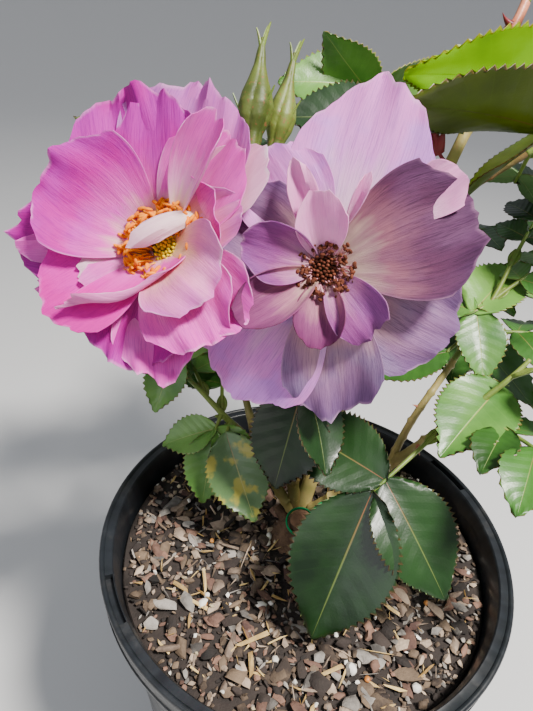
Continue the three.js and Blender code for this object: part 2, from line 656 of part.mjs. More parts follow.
// A petal as a solid sheet; room adds clearance all round it
function petalSolid(frame, petal, room) {
  const columns = Math.max(2, Math.round(petal.width / PETAL_STEP));
  const rows = Math.max(2, Math.round(petal.length / PETAL_STEP));
  const sheet = new THREE.BoxGeometry(2, 1, 1, columns, rows, 1);
  const spread = 1 + 2.5 * room / petal.length;
  const thickness = PETAL_THICKNESS + 2 * room;
  return shape(sheet, (x, y, z) => (
    petalPoint(frame, petal, x * spread, (y + 0.5) * spread, z * thickness)));
}

// A ball stretched to given radii across and along a bloom's axis
function axisBall(frame, across, along, height) {
  return shape(new THREE.SphereGeometry(1, 10, 6), (x, y, z) => frame.center.clone()
    .addScaledVector(frame.right, x * across).addScaledVector(frame.over, -z * across)
    .addScaledVector(frame.axis, height + y * along));
}

function bloomSolid(bloom, room = 0) {
  const frame = bloomFrame(bloom);
  const [bossRadius, bossHeight] = bloom.stamens;
  const petals = bloom.petals.map((petal) => petalSolid(frame, { ...PETAL, ...petal }, room));
  const heart = axisBall(frame, 6.5, 3.6, -0.6);
  const boss = axisBall(frame, bossRadius, bossHeight, 0.8);
  const hip = axisBall(frame, HIP[0], HIP[1], -HIP_DROP + HIP[1] / 2);
  return joinAll([heart, boss, hip, ...petals]);
}

function buildBlooms() {
  const pink = bloomSolid(PINK);
  const room = bloomSolid(PINK, GAP);
  addNode(PINK.name, mainBody(pink), materialOf(0xd873c0, 0.55));
  addNode(LILAC.name, mainBody(bloomSolid(LILAC).subtract(room)), materialOf(0xb98fc4, 0.55));
}

// Flower cluster: stalks and buds
function budSolid({ foot, top, radius }) {
  const from = vector(foot);
  const to = vector(top);
  const axis = new THREE.LineCurve3(from, to);
  const last = BUD_STATIONS.length - 1;
  return limbSolid(axis, (t) => radius * BUD_STATIONS[Math.round(t * last)], 8, last);
}

function clusterSolid() {
  const fork = vector(CLUSTER_FORK);
  const limb = limbs.get('cane_center');
  const way = limb.curve.getTangent(1);
  const foot = limb.curve.getPoint(1).addScaledVector(way, GAP);
  const stem = limbSolid(limbCurve(foot, way, fork, way), taper([2.1, 1.7]), 6, 2);
  const stalks = [PINK, LILAC].map((bloom) => {
    const { center, axis } = bloomFrame(bloom);
    const seat = center.clone().addScaledVector(axis, -HIP_DROP - HIP[1] / 2 - GAP);
    const rise = way.clone().add(seat.clone().sub(fork).normalize()).normalize();
    return limbSolid(limbCurve(fork, rise, seat, axis), taper([1.5, 1.4]), 6, 7);
  });
  const budStalks = BUDS.map((bud) => {
    const axis = vector(bud.top).sub(vector(bud.foot)).normalize();
    return limbSolid(limbCurve(fork, way, vector(bud.foot).addScaledVector(axis, 1), axis),
      taper([1.4, 1.3]), 6, 5);
  });
  return joinAll([stem, ...stalks, ...budStalks, ...BUDS.map(budSolid)]);
}

addNode('pot', potSolid(), materialOf(0x23272e, 0.35));
addNode('potting_mix', soilSolid(), materialOf(0x5c4a3c, 0.95));
addNode('trunk', trunkSolid(), materialOf(0x5a4636, 0.85));
addNode('plant_tie', tieSolid(), materialOf(0x1c8a54, 0.45));
buildBlooms();
buildLimbs();
addNode('flower_cluster', mainBody(clusterSolid()), materialOf(0x7d8f45, 0.55));
buildShoots();

export default group;
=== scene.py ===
import json
from math import cos, pi, radians, sin, sqrt
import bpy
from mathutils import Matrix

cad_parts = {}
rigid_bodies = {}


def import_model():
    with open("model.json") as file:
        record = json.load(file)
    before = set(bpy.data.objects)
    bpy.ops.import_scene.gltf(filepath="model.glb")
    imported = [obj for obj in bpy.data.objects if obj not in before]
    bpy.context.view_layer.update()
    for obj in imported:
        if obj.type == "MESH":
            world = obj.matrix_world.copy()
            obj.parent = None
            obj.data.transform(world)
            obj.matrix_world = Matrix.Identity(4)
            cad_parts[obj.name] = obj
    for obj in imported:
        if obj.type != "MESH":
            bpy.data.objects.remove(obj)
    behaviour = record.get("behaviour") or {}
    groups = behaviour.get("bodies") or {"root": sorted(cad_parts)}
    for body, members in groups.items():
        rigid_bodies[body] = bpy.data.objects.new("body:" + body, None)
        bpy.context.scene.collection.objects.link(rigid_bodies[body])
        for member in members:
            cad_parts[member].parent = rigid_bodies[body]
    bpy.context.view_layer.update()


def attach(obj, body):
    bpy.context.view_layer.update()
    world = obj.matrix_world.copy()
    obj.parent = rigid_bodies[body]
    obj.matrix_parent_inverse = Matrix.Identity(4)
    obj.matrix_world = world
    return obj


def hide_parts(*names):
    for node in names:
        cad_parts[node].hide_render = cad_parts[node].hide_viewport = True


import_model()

from types import SimpleNamespace

import bmesh
import bpy
import numpy as np
from mathutils import Matrix

# Potted rose bush. Shapes are worked out in millimetres in the part's own frame: +Z up, the front
# facing -Y, the origin under the middle of the pot. They become metres when a mesh is made.
MM = 0.001
TURN = 2 * pi
UP = np.array([0.0, 0.0, 1.0])


def record(names, **usual):
    """A maker of table rows: values by place or by name, some of them with a usual value."""
    def row(*values, **own):
        return SimpleNamespace(**{**usual, **dict(zip(names.split(), values)), **own})
    return row


# Camera: where it stands, and the directions of the picture's right, top and back
CAMERA_PLACE = (-0.02705, -0.1832, 0.4095)
CAMERA_RIGHT = (0.9963, 0.0458, 0.0729)
CAMERA_TOP = (-0.0861, 0.5303, 0.8434)
CAMERA_BACK = (0.0, -0.8466, 0.5323)
CAMERA_LENS = 27.04
SENSOR_WIDTH = 36
LIGHT_AIM = (0, 0, 0.3)

# Pot and potting mix
POT_HEIGHT = 195
RIM_RADIUS = 100
SHOULDER_RADIUS = 93
BASE_RADIUS = 75
RIM_SKIRT = 13
WALL = 1.8
FLOOR = 2.4
SOIL_LEVEL = 181
SLOT_AZIMUTHS = (-150.5, 29.5)
SLOT_RADIUS, SLOT_HALF_WIDTH, SLOT_HALF_ANGLE = 96, 1.6, 7.5
DRAIN_HOLES, DRAIN_RING, DRAIN_RADIUS = 5, 54, 6
# The rim's section: how far inside RIM_RADIUS, and how far over the foot of the skirt or under the top
RIM_LOW = [(1.2, 0), (0.7, 0.4), (0.6, 1.6), (1.1, 2), (0.9, 4)]
RIM_HIGH = [(0.3, 3.2), (0, 2.2), (0, 1), (0.4, 0.3), (1, 0), (1.7, 0), (2.2, 0.35), (2.5, 0.9), (4.6, 1),
            (5.7, 0.8), (6.2, 1.2), (6.5, 2.2)]

# Loose pieces on the mix, as piece: its paints, its sharp angle, and rows of lump shape, count, ranges of
# length, width and thickness, tilt, range of height over the mix, and the places of the paints dealt out
STREW_REACH = 90.4
# The first bark paint is the mix's own dark brown darkened into painted shade.
BARK = "mix_dark bark_brown bark_rust bark_grey bark_rose bark_straw"
STONE = "stone_white stone_cream prill_orange"
STREWN = {
    "bark_crumbs": (BARK, 48, [
        ("chunky", 3000, [(2.2, 5), (1.4, 3.2), (1, 2)], 24, (-1.2, 0.3), [0, 0, 1, 1, 2, 3, 4])]),
    "bark_chips": (BARK, 48, [
        ("chunky", 560, [(5.5, 11), (3.4, 6.2), (2, 4.2)], 17, (-0.4, 1.2), [0, 1, 1, 2, 3, 4, 4]),
        ("chunky", 190, [(9, 16), (5.4, 9.4), (3, 5.4)], 15, (0.2, 2.2), [0, 1, 2, 3, 4, 4])]),
    "bark_slivers": (BARK, 25, [
        ("sliver", 330, [(6, 13), (1, 2.1), (0.6, 1.2)], 14, (0.4, 2), [5, 5, 1, 3, 4]),
        ("sliver", 80, [(12, 21), (1.8, 3.8), (1, 1.8)], 10, (1.4, 2.8), [5, 5, 4])]),
    "small_stones": (STONE, 40, [
        ("chunky", 90, [(2, 3.6), (1.8, 3), (1.6, 2.6)], 20, (0.6, 1.8), [0, 0, 0, 1]),
        ("pebble", 26, [(3.6, 6.4), (3, 4.8), (2.4, 3.8)], 20, (0.6, 1.8), [0, 0, 0, 1]),
        ("pebble", 12, [(2.6, 3.2), (2.6, 3.2), (2.4, 3)], 20, (1, 2), [2])]),
}

# Trunk and tie
CROWN_CENTER = (-2.4, 6)
CROWN_CLEAR = 11
CROWN = [(0, 15), (2.6, 12), (5.6, 10.2), (9, 9.2), (11.5, 6)]
STUB_FOOT = (-2.4, 5, SOIL_LEVEL + 6)
STUB_TOP = (-2.8, 0.6, SOIL_LEVEL + 18)
TIE_PLACE = 0.76
TIE_RADIUS = 7.05
TIE_END = (8.2, 6, SOIL_LEVEL + 25.5)

# Canes and branches: headings are azimuth and lean from upright, where a limb sets out and at its tip.
# A limb with no parent sets out from the fork.
FORK = (-2.6, 12.5, SOIL_LEVEL + 6)
BLUSH_FROM = 0.87
PRICKLE_GAP, TALL_PRICKLE_GAP = 22, 11
Limb = record("heading tip tip_heading radii skin parent at", parent=None)
LIMBS = {
    "cane_center": Limb((135, 22), (-24, 31, 296), (118, 14), (3.3, 2.1), "brown"),
    "cane_tall": Limb((62, 20), (74, 106, 424), (56, 34), (4.0, 2.1), "beige"),
    "cane_right": Limb((-8, 38), (50, 3, 258), (10, 42), (3.2, 2.0), "beige"),
    "cane_left": Limb((168, 46), (-40, 24, 236), (170, 50), (3.0, 1.9), "beige"),
    "cane_back": Limb((96, 42), (4, 82, 300), (92, 18), (3.4, 2.0), "brown"),
    "branch_center": Limb((-20, 34), (-4, 16, 268), (-60, 20), (1.8, 1.4), "beige", "cane_center", 0.5),
    "branch_right": Limb((10, 50), (76, 60, 369), (-8, 48), (2.0, 1.5), "brown", "cane_tall", 0.62),
    "branch_right_low": Limb((62, 26), (60, 30, 282), (40, 36), (1.9, 1.5), "beige", "cane_right", 0.72),
    "branch_back_left": Limb((118, 26), (-52, 58, 286), (128, 24), (2.0, 1.5), "beige", "cane_left", 0.7),
    "branch_back_right": Limb((80, 52), (44, 84, 268), (64, 44), (2.0, 1.5), "brown", "cane_tall", 0.34),
}

# The paints of a foliage piece, and their places: the leaf tones, the undersides and the stalks. Among the
# leaf tones are a darker and a lighter copy of the green paint: painted shade and painted light.
FOLIAGE = "leaf_deep leaf_green leaf_pale leaf_spotted leaf_lime leaf_olive leaf_under stalk_green"
SHADED, GREEN, SUNLIT, SPOTTED, BACKLIT_LIME, SHADED_OLIVE, UNDER, STALK = range(8)

# Leafy shoots, as in the solids, with the leaves that are set one by one
Leaf = record("at knee tip face tone pairs spread", pairs=2, spread=None)
Shoot = record("limb end bow seed leaves reach turns aimed", aimed=())
SHOOTS = {
    "foliage_right": Shoot("cane_right", (84, 12, 296), (4, -4, 4), 11, 2, 84, (-60, 10), [
        Leaf(0.12, (21.5, -23.5, 246.5), (-1.4, -64.6, 200), (-0.2, -0.6, 0.78), SHADED, 1, 76),
        Leaf(0.7, (77, 14, 280), (45, -23, 274), (0, -0.2, 1), SUNLIT, 0),
    ]),
    "foliage_right_middle": Shoot("branch_right_low", (86, 62, 326), (4, -4, 0), 23, 3, 80, (-10, 70), [
        Leaf(0.3, (54, 26, 288), (18, 14, 283), (0, -0.2, 1), GREEN, 0),
        Leaf(0.55, (66, 40, 302), (92, 68, 321), (-0.3, -0.6, 0.8), SUNLIT, 1),
    ]),
    "foliage_right_top": Shoot("branch_right", (108, 56, 400), (6, 0, -6), 35, 3, 78, (-20, 90), [
        # The olive leaf carries painted shade and the lime leaf painted light shining through it.
        Leaf(0.75, (70, 26, 382.5), (9, 12, 397), (0, 0.62, 0.78), SHADED_OLIVE, 1),
        Leaf(0.95, (79, 53, 393.5), (13, 42, 405), (0, 0.6, 0.8), BACKLIT_LIME, 0),
        Leaf(0.05, (84, 82, 352), (105, 100, 357), (0, -0.4, 0.9), GREEN, 1),
    ]),
    "foliage_top": Shoot("cane_tall", (86, 126, 458), (0, 0, 3), 41, 4, 90, (-50, 190)),
    "foliage_center": Shoot("branch_center", (-6, 6, 294), (0, -4, 0), 53, 0, 60, (-170, -10), [
        Leaf(0.6, (-11, -3, 283), (-20, -24, 240), (-0.1, -0.75, 0.6), SHADED, 1),
    ]),
    "foliage_left": Shoot("cane_left", (-66, 28, 262), (0, 0, 2), 61, 3, 72, (95, 165), [
        Leaf(0.3, (-49, 16, 238), (-53, -6, 209), (-0.1, -0.7, 0.7), SUNLIT, 1),
        Leaf(0.1, (-43, 12, 241), (-26, -18, 214), (-0.1, -0.7, 0.7), SPOTTED, 0),
        Leaf(0.95, (-70, 34, 270.5), (-79, 12, 250), (-0.1, -0.5, 0.8), SUNLIT, 1),
    ]),
    "foliage_back_left": Shoot("branch_back_left", (-76, 84, 336), (-4, 2, 0), 71, 5, 92, (70, 210)),
    "foliage_back": Shoot("cane_back", (8, 110, 366), (0, 6, 0), 83, 5, 96, (50, 170), [
        Leaf(0.9, (17, 76, 374), (-29, 69, 378), (0, -0.72, 0.7), SHADED),
        Leaf(1, (13.6, 99, 385), (-31.6, 86, 390.6), (0, -0.7, 0.7), SUNLIT, 1),
    ]),
    "foliage_back_right": Shoot("branch_back_right", (62, 124, 308), (2, 2, 0), 97, 4, 92, (-50, 80)),
}
LEAFLET_PAIRS = [(0.82, 60, 0.8), (0.46, 68, 0.66)]
LEAF_RATIO = 0.7
TOOTH, ROUGH_TOOTH = 2.3, 3.4
HALF_THICK = 0.2
GOLDEN_TURN = 137.5

# Petals: turn is the direction seen from the front, lift and tip_lift the slope above the bloom's plane at
# the petal's foot and tip, and tone the paint of its front. Some tones are lighter or darker copies of one
# paint: painted light and painted shade.
WIDEST = 0.66
Petal = record("turn length width lift tip_lift tone", tone="body", cup=14, shoulder=0.3, skew=0, point=0,
               notch=0, roll_right=0, tip_roll=0, ruffle=1.2, waves=1.5, bend=0, out=3, up=0, claw=0.24)
Bloom = record("kind center facing petals")
MAUVE = Bloom("mauve", (-9.5, -9.6, 338), (-0.1, -0.92, 0.38), [
    # Petals with the light tone take painted light: a lighter copy of the body paint.
    Petal(80, 59, 47, 10, -4, "light", point=0.06, skew=0.06, cup=6, ruffle=2.2, shoulder=0.4),
    # This petal takes the darker copy of the body paint: painted shade.
    Petal(27, 50, 46, 18, -10, "dusk", cup=12, ruffle=2.2),
    Petal(42, 18, 18, 14, 8, "lobe", cup=8, out=35, up=3, claw=0.7),
    Petal(-20, 49, 47, 4, -22, cup=6, out=4, up=-2),
    Petal(-78, 53, 37, 6, -22, cup=10, ruffle=2.2),
    Petal(-118, 57, 45, 4, -20, "light", cup=6, up=-1.5),
    Petal(-141, 55, 36, -4, -26, "light", cup=4, up=-3),
    Petal(126, 42, 34, 16, 0, "light", cup=10, up=-1),
    Petal(158, 37, 36, 18, 2, up=-1),
    Petal(168, 31, 24, 50, 22, "dark", cup=24, roll_right=50),
    Petal(216, 38, 24, 38, 26, "spoon", cup=40, tip_roll=40),
    Petal(114, 36, 11, 34, 14, "lobe", cup=24),
    Petal(102, 27, 19, 50, 26, "lobe", cup=24),
    Petal(72, 18, 7, 40, 10, "lobe", cup=50, out=16, up=7),
    Petal(-46, 29, 21, 42, -4, "dark", cup=20, tip_roll=-60),
    Petal(-88, 26, 24, 26, 20, "spoon", cup=40),
])
PINK = Bloom("pink", (-67.5, -5.7, 338.6), (-0.19, -0.81, 0.55), [
    # Petals with the light tone take painted light: a lighter copy of the body paint.
    Petal(81, 53, 50, 22, 8, "lilac", up=-1.5, ruffle=2.2, waves=2.4),
    Petal(109, 50, 46, 27, 14, ruffle=2.4, waves=2, up=-1),
    Petal(94, 47, 30, 28, 16, ruffle=1.8, waves=2),
    Petal(155, 43, 46, 36, 16, cup=16, ruffle=1.8),
    Petal(186, 49, 38, 20, 4, point=0.1, up=-2),
    Petal(194, 46, 15, 34, 4, "light", cup=-24),
    Petal(211, 45, 34, 18, -10, "light", ruffle=3.4, waves=3, up=-2.5),
    Petal(226, 42, 36, 28, 8, "deep", ruffle=1.6),
    Petal(295, 26, 40, 46, 30, "deep", tip_roll=150, cup=12, bend=1.05, up=1.5),
    Petal(271, 41, 42, 22, -2, ruffle=2.6, waves=2, up=-1),
    Petal(287, 44, 34, 20, 0, "light", point=0.08, ruffle=2, up=-2),
    Petal(315, 42, 36, 30, 8, "light", ruffle=1.8),
    Petal(330, 43, 32, 26, 8, "light", up=-1.5),
    Petal(332, 36, 36, 50, 34, "peach", tip_roll=-80, cup=16),
    Petal(27, 34, 24, 30, 20, "peach", up=-1),
    Petal(45, 48, 24, 22, 14, "white", up=-2),
    Petal(57, 43, 34, 28, 14, "light", ruffle=2, up=-1),
    Petal(62, 40, 20, 42, 24, "light", cup=44, notch=0.12, out=12, up=4),
    Petal(36, 20, 26, 58, 50, "light", out=15, cup=10),
    Petal(44, 34, 10, 95, 200, "white", out=19, cup=34, ruffle=2.8, waves=3),
    Petal(224, 27, 14, 28, 26, "light", cup=10),
    Petal(217, 24, 16, 42, 10, "white", out=6),
])
STYLES = 46
STYLE_RING = 5
CLUSTER_FORK = (-27, 37, 318)
HIP_HEIGHT = 6
HIP_DROP = 9
# Buds: foot, top and radius
BUDS = [((-40.3, 40, 366), (-39.2, 60.7, 403), 7), ((-31.6, 51.5, 361.3), (-26.1, 70.5, 398.4), 6.1)]
BUD_STATIONS = [0.5, 0.56, 0.88, 1, 0.84, 0.56, 0.34, 0.24, 0.1]


def vec(v):
    return np.asarray(v, float)


def unit(v):
    v = vec(v)
    return v / np.maximum(np.linalg.norm(v, axis=-1, keepdims=True), 1e-12)


def square(a, b):
    """Unit vector square to two others."""
    return unit(np.cross(a, b))


def spoke(right, over, angle):
    return right * cos(angle) + over * sin(angle)


def around(count):
    """Even angles round a circle."""
    return np.linspace(0, TURN, count, endpoint=False)


def heading(azimuth, lean):
    """Unit vector from an azimuth and a lean from upright, in degrees."""
    a, b = radians(azimuth), radians(lean)
    return np.array([sin(b) * cos(a), sin(b) * sin(a), cos(b)])


def smooth(low, high, value):
    t = np.clip((value - low) / (high - low), 0, 1)
    return t * t * (3 - 2 * t)


def chance(seed):
    """The solids' repeatable random numbers between 0 and 1."""
    state = seed
    while True:
        state = (state * 1664525 + 1013904223) % 2 ** 32
        yield state / 2 ** 32


class Curve:
    """A Bezier curve from its control points."""

    def __init__(self, *points):
        self.points = [vec(p) for p in points]

    def at(self, t):
        t = vec(t)[..., None]
        rows = [p + 0 * t for p in self.points]
        while len(rows) > 1:
            rows = [a * (1 - t) + b * t for a, b in zip(rows, rows[1:])]
        return rows[0]

    def way(self, t):
        t = vec(t)
        return unit(self.at(np.minimum(t + 1e-4, 1)) - self.at(np.maximum(t - 1e-4, 0)))


def limb_curve(start, start_way, end, end_way):
    start, end = vec(start), vec(end)
    pull = np.linalg.norm(end - start) / 3
    return Curve(start, start + pull * vec(start_way), end - pull * vec(end_way), end)


def taper(foot, tip):
    return lambda t: foot + (tip - foot) * vec(t)


# Meshes
class Build:
    """Gathers the faces of one piece. place is a pair of values for each point, spray one value."""

    def __init__(self):
        self.verts, self.faces, self.marks, self.places, self.sprays = [], [], [], [], []
        self.count = 0

    def add(self, verts, faces, mark=0, place=None, spray=0.5):
        verts = vec(verts).reshape(-1, 3)
        place = np.zeros((len(verts), 2)) if place is None else np.asarray(place).reshape(-1, 2)
        self.verts.append(verts)
        self.places.append(place)
        self.sprays.append(np.full(len(verts), spray))
        for block in faces:
            block = np.asarray(block, int)
            self.faces.append(block + self.count)
            self.marks.append(np.full(len(block), mark))
        self.count += len(verts)

    def remark(self, mark):
        """Gives the block of faces added last another material."""
        self.marks[-1][:] = mark


def grid_faces(rows, cols, wrap=False):
    i, j = np.meshgrid(np.arange(rows - 1), np.arange(cols if wrap else cols - 1), indexing="ij")
    k = (j + 1) % cols
    return np.stack([i * cols + j, i * cols + k, (i + 1) * cols + k, (i + 1) * cols + j], -1).reshape(-1, 4)


def sheet(build, top, bottom, mark=0, back=None, place=None, spray=0.5):
    """A thin closed sheet between two grids of points, the top one facing out."""
    rows, cols = top.shape[:2]
    size = rows * cols
    quads = grid_faces(rows, cols)
    edge = np.concatenate([
        np.arange(cols - 1), np.arange(rows - 1) * cols + cols - 1,
        (rows - 1) * cols + np.arange(cols - 1, 0, -1), np.arange(rows - 1, 0, -1) * cols])
    after = np.roll(edge, -1)
    rim = np.stack([after, edge, edge + size, after + size], -1)
    points = np.concatenate([top.reshape(-1, 3), bottom.reshape(-1, 3)])
    place = None if place is None else np.concatenate([place.reshape(-1, 2)] * 2)
    build.add(points, [quads, rim, quads[:, ::-1] + size], mark, place, spray)
    build.remark(mark if back is None else back)


def tube(build, curve, radius, sides, steps, mark=0, low=0.0, high=1.0, spray=0.5, relief=None):
    """A closed tube along a curve. relief(t, angle) adds to its radius."""
    t = np.linspace(low, high, steps + 1)
    ways = curve.way(t)
    across = square(ways, (0.93, 0.31, 0.19))
    over = np.cross(across, ways)
    angle = around(sides)
    size = np.broadcast_to(radius(t)[:, None], (steps + 1, sides)).copy()
    if relief:
        size += relief(t[:, None], angle[None, :])
    ring = curve.at(t)[:, None] + size[..., None] * (
        across[:, None] * np.cos(angle)[None, :, None] + over[:, None] * np.sin(angle)[None, :, None])
    quads = grid_faces(steps + 1, sides, wrap=True)[:, ::-1]
    points = np.concatenate([ring.reshape(-1, 3), curve.at(t[[0, -1]])])
    foot, tip = (steps + 1) * sides, (steps + 1) * sides + 1
    j = np.arange(sides)
    k = (j + 1) % sides
    low_cap = np.stack([np.full(sides, foot), j, k], -1)
    high_cap = np.stack([np.full(sides, tip), steps * sides + k, steps * sides + j], -1)
    place = np.zeros((len(points), 2))
    place[:foot, 0] = np.tile(angle / TURN, steps + 1)
    place[:foot, 1] = np.repeat(t, sides)
    place[tip, 1] = high
    build.add(points, [quads, low_cap, high_cap], mark, place, spray)


def lathe(build, profile, sides, axis=UP, center=(0, 0, 0), relief=None, closed=True):
    """A surface turned about an axis from (radius, height) pairs. relief(ring, angle) adds to the radius."""
    axis = unit(axis)
    side = square(axis, (0.1, 1, 0.3))
    over = np.cross(axis, side)
    angle = around(sides)
    profile = vec(profile)
    radius = np.broadcast_to(profile[:, :1], (len(profile), sides)).copy()
    if relief:
        radius += relief(np.arange(len(profile))[:, None], angle[None, :])
    ring = (vec(center) + profile[:, 1][:, None, None] * axis
            + radius[..., None] * (side * np.cos(angle)[:, None] + over * np.sin(angle)[:, None]))
    build.add(ring, [grid_faces(len(profile), sides, wrap=True)])
    if closed:
        for end, step in ((0, -1), (-1, 1)):
            fan = np.stack([np.full(sides, sides), np.arange(sides), (np.arange(sides) + 1) % sides], -1)
            middle = vec(center) + profile[end, 1] * axis
            build.add(np.concatenate([ring[end], [middle]]), [fan[:, ::step]])


def join_points(mesh, outward=False):
    """Joins the points that coincide."""
    work = bmesh.new()
    work.from_mesh(mesh)
    bmesh.ops.remove_doubles(work, verts=work.verts, dist=1e-6)
    if outward:
        bmesh.ops.recalc_face_normals(work, faces=work.faces)
    work.to_mesh(mesh)
    work.free()


def put(name, data):
    """A new object in the scene."""
    made = bpy.data.objects.new(name, data)
    bpy.context.scene.collection.objects.link(made)
    return made


def piece(name, build, colors, nodes, sharp=50, weld=False):
    """Makes the mesh object, gives it the named paints, and seats it in the frame."""
    loops = np.concatenate([f.ravel() for f in build.faces])
    sizes = np.concatenate([np.full(len(f), f.shape[1]) for f in build.faces])
    starts = np.concatenate([[0], np.cumsum(sizes)[:-1]])
    mesh = bpy.data.meshes.new(name)
    mesh.vertices.add(build.count)
    mesh.vertices.foreach_set("co", (np.concatenate(build.verts) * MM).ravel())
    mesh.loops.add(len(loops))
    mesh.loops.foreach_set("vertex_index", loops.astype(np.int32))
    mesh.polygons.add(len(sizes))
    mesh.polygons.foreach_set("loop_start", starts.astype(np.int32))
    mesh.polygons.foreach_set("material_index", np.concatenate(build.marks).astype(np.int32))
    mesh.update(calc_edges=True)
    place = mesh.uv_layers.new(name="place")
    place.uv.foreach_set("vector", np.concatenate(build.places)[loops].ravel().astype(np.float32))
    spray = mesh.attributes.new("spray", "FLOAT", "POINT")
    spray.data.foreach_set("value", np.concatenate(build.sprays).astype(np.float32))
    for key in colors.split():
        mesh.materials.append(paints[key])
    mesh.validate()
    if weld:
        join_points(mesh)
    mesh.shade_smooth()
    if sharp:
        mesh.set_sharp_from_angle(angle=radians(sharp))
    made = put(name, mesh)
    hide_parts(*nodes)
    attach(made, "root")
    return made


# Materials
def color(code):
    """Linear colour from a hex code."""
    parts = [int(code[i:i + 2], 16) / 255 for i in (0, 2, 4)]
    return *(p / 12.92 if p <= 0.04045 else ((p + 0.055) / 1.055) ** 2.4 for p in parts), 1


paints = {}


class Paint:
    """A material and its nodes. Inputs are numbers, hex colours or other nodes' outputs."""

    def __init__(self, name, **settings):
        self.material = bpy.data.materials.new(name)
        self.material.use_nodes = True
        paints[name] = self.material
        self.tree = self.material.node_tree
        self.shader = self.tree.nodes["Principled BSDF"]
        for key, value in settings.items():
            self.set(key.replace("_", " "), value)

    def set(self, key, value):
        self.feed(self.shader.inputs[key], value)

    def feed(self, socket, value):
        if isinstance(value, bpy.types.NodeSocket):
            self.tree.links.new(value, socket)
        else:
            socket.default_value = color(value) if isinstance(value, str) else value

    def node(self, kind, inputs, **settings):
        made = self.tree.nodes.new("ShaderNode" + kind)
        for key, value in settings.items():
            setattr(made, key, value)
        for key, value in inputs.items():
            self.feed(made.inputs[key], value)
        return made

    def math(self, operation, a, b=0.0):
        return self.node("Math", {0: a, 1: b}, operation=operation).outputs[0]

    def times(self, a, b):
        return self.math("MULTIPLY", a, b)

    def plus(self, a, b):
        return self.math("ADD", a, b)

    def minus(self, a, b):
        return self.math("SUBTRACT", a, b)

    def fade(self, value, low, high, start=0.0, end=1.0):
        return self.node("MapRange", {"Value": value, "From Min": low, "From Max": high, "To Min": start,
                                      "To Max": end}, interpolation_type="SMOOTHSTEP").outputs[0]

    def combine(self, x, y, z=0.0):
        return self.node("CombineXYZ", {0: x, 1: y, 2: z}).outputs[0]

    def split(self, vector):
        return self.node("SeparateXYZ", {0: vector}).outputs

    def where(self):
        return self.node("TexCoord", {}).outputs["Object"]

    def noise(self, scale, detail=3.0, roughness=0.5, vector=None):
        return self.node("TexNoise", {"Vector": self.where() if vector is None else vector, "Scale": scale,
                                      "Detail": detail, "Roughness": roughness}).outputs[0]

    def ramp(self, value, *stops):
        made = self.node("ValToRGB", {0: value})
        for mark, (at, tint) in zip(made.color_ramp.elements, stops):
            mark.position, mark.color = at, color(tint)
        for at, tint in stops[2:]:
            made.color_ramp.elements.new(at).color = color(tint)
        return made.outputs[0]

    def mix(self, factor, a, b):
        return self.node("Mix", {0: factor, 6: a, 7: b}, data_type="RGBA").outputs[2]

    def bump(self, height, distance, strength):
        made = self.node("Bump", {"Height": height, "Distance": distance, "Strength": strength})
        self.set("Normal", made.outputs[0])

    def place(self):
        found = self.split(self.node("UVMap", {}, uv_map="place").outputs[0])
        return found[0], found[1]

    def spray(self):
        return self.node("Attribute", {}, attribute_name="spray").outputs["Fac"]

    def glow(self, tint, share):
        """Lets some light through the surface."""
        veil = self.node("BsdfTranslucent", {"Color": tint})
        both = self.node("MixShader", {0: share, 1: self.shader.outputs[0], 2: veil.outputs[0]})
        self.feed(self.tree.nodes["Material Output"].inputs["Surface"], both.outputs[0])


def petal_paint(name, codes, veins):
    """Petal: colour runs from the throat to the margin, with fine veins fanning out along it."""
    throat, pale, body, margin, vein, patch, rim = codes.split()
    p = Paint(name, Roughness=0.62, Sheen_Weight=0.06, Specular_IOR_Level=0.18)
    across, along = p.place()
    own = p.times(p.spray(), 37.0)
    broad = p.noise(1.0, 3.0, 0.5, p.combine(p.times(across, 9.0), p.times(along, 1.2), own))
    fine = p.noise(1.0, 4.0, 0.65, p.combine(p.times(across, 120.0), p.times(along, 6.0), own))
    cloud = p.noise(46.0)
    reach = p.plus(along, p.times(p.minus(broad, 0.5), 0.5))
    base = p.ramp(reach, (0.1, throat), (0.36, pale), (0.66, body), (0.97, margin))
    base = p.mix(p.fade(cloud, 0.44, 0.64, 0.0, 0.5), base, patch)
    line = p.fade(fine, 0.47, 0.66, 0.0, veins)
    base = p.mix(p.times(line, p.fade(along, 0.15, 0.6)), base, vein)
    side = p.math("ABSOLUTE", p.minus(across, 0.5))
    near = p.math("MAXIMUM", p.fade(along, 0.965, 1.0), p.fade(side, 0.48, 0.5))
    base = p.mix(p.times(near, p.fade(broad, 0.4, 0.65, 0.0, 0.5)), base, rim)
    p.set("Base Color", base)
    p.bump(p.plus(fine, p.times(broad, 2.5)), 0.0005, 0.6)
    p.glow(base, 0.3)


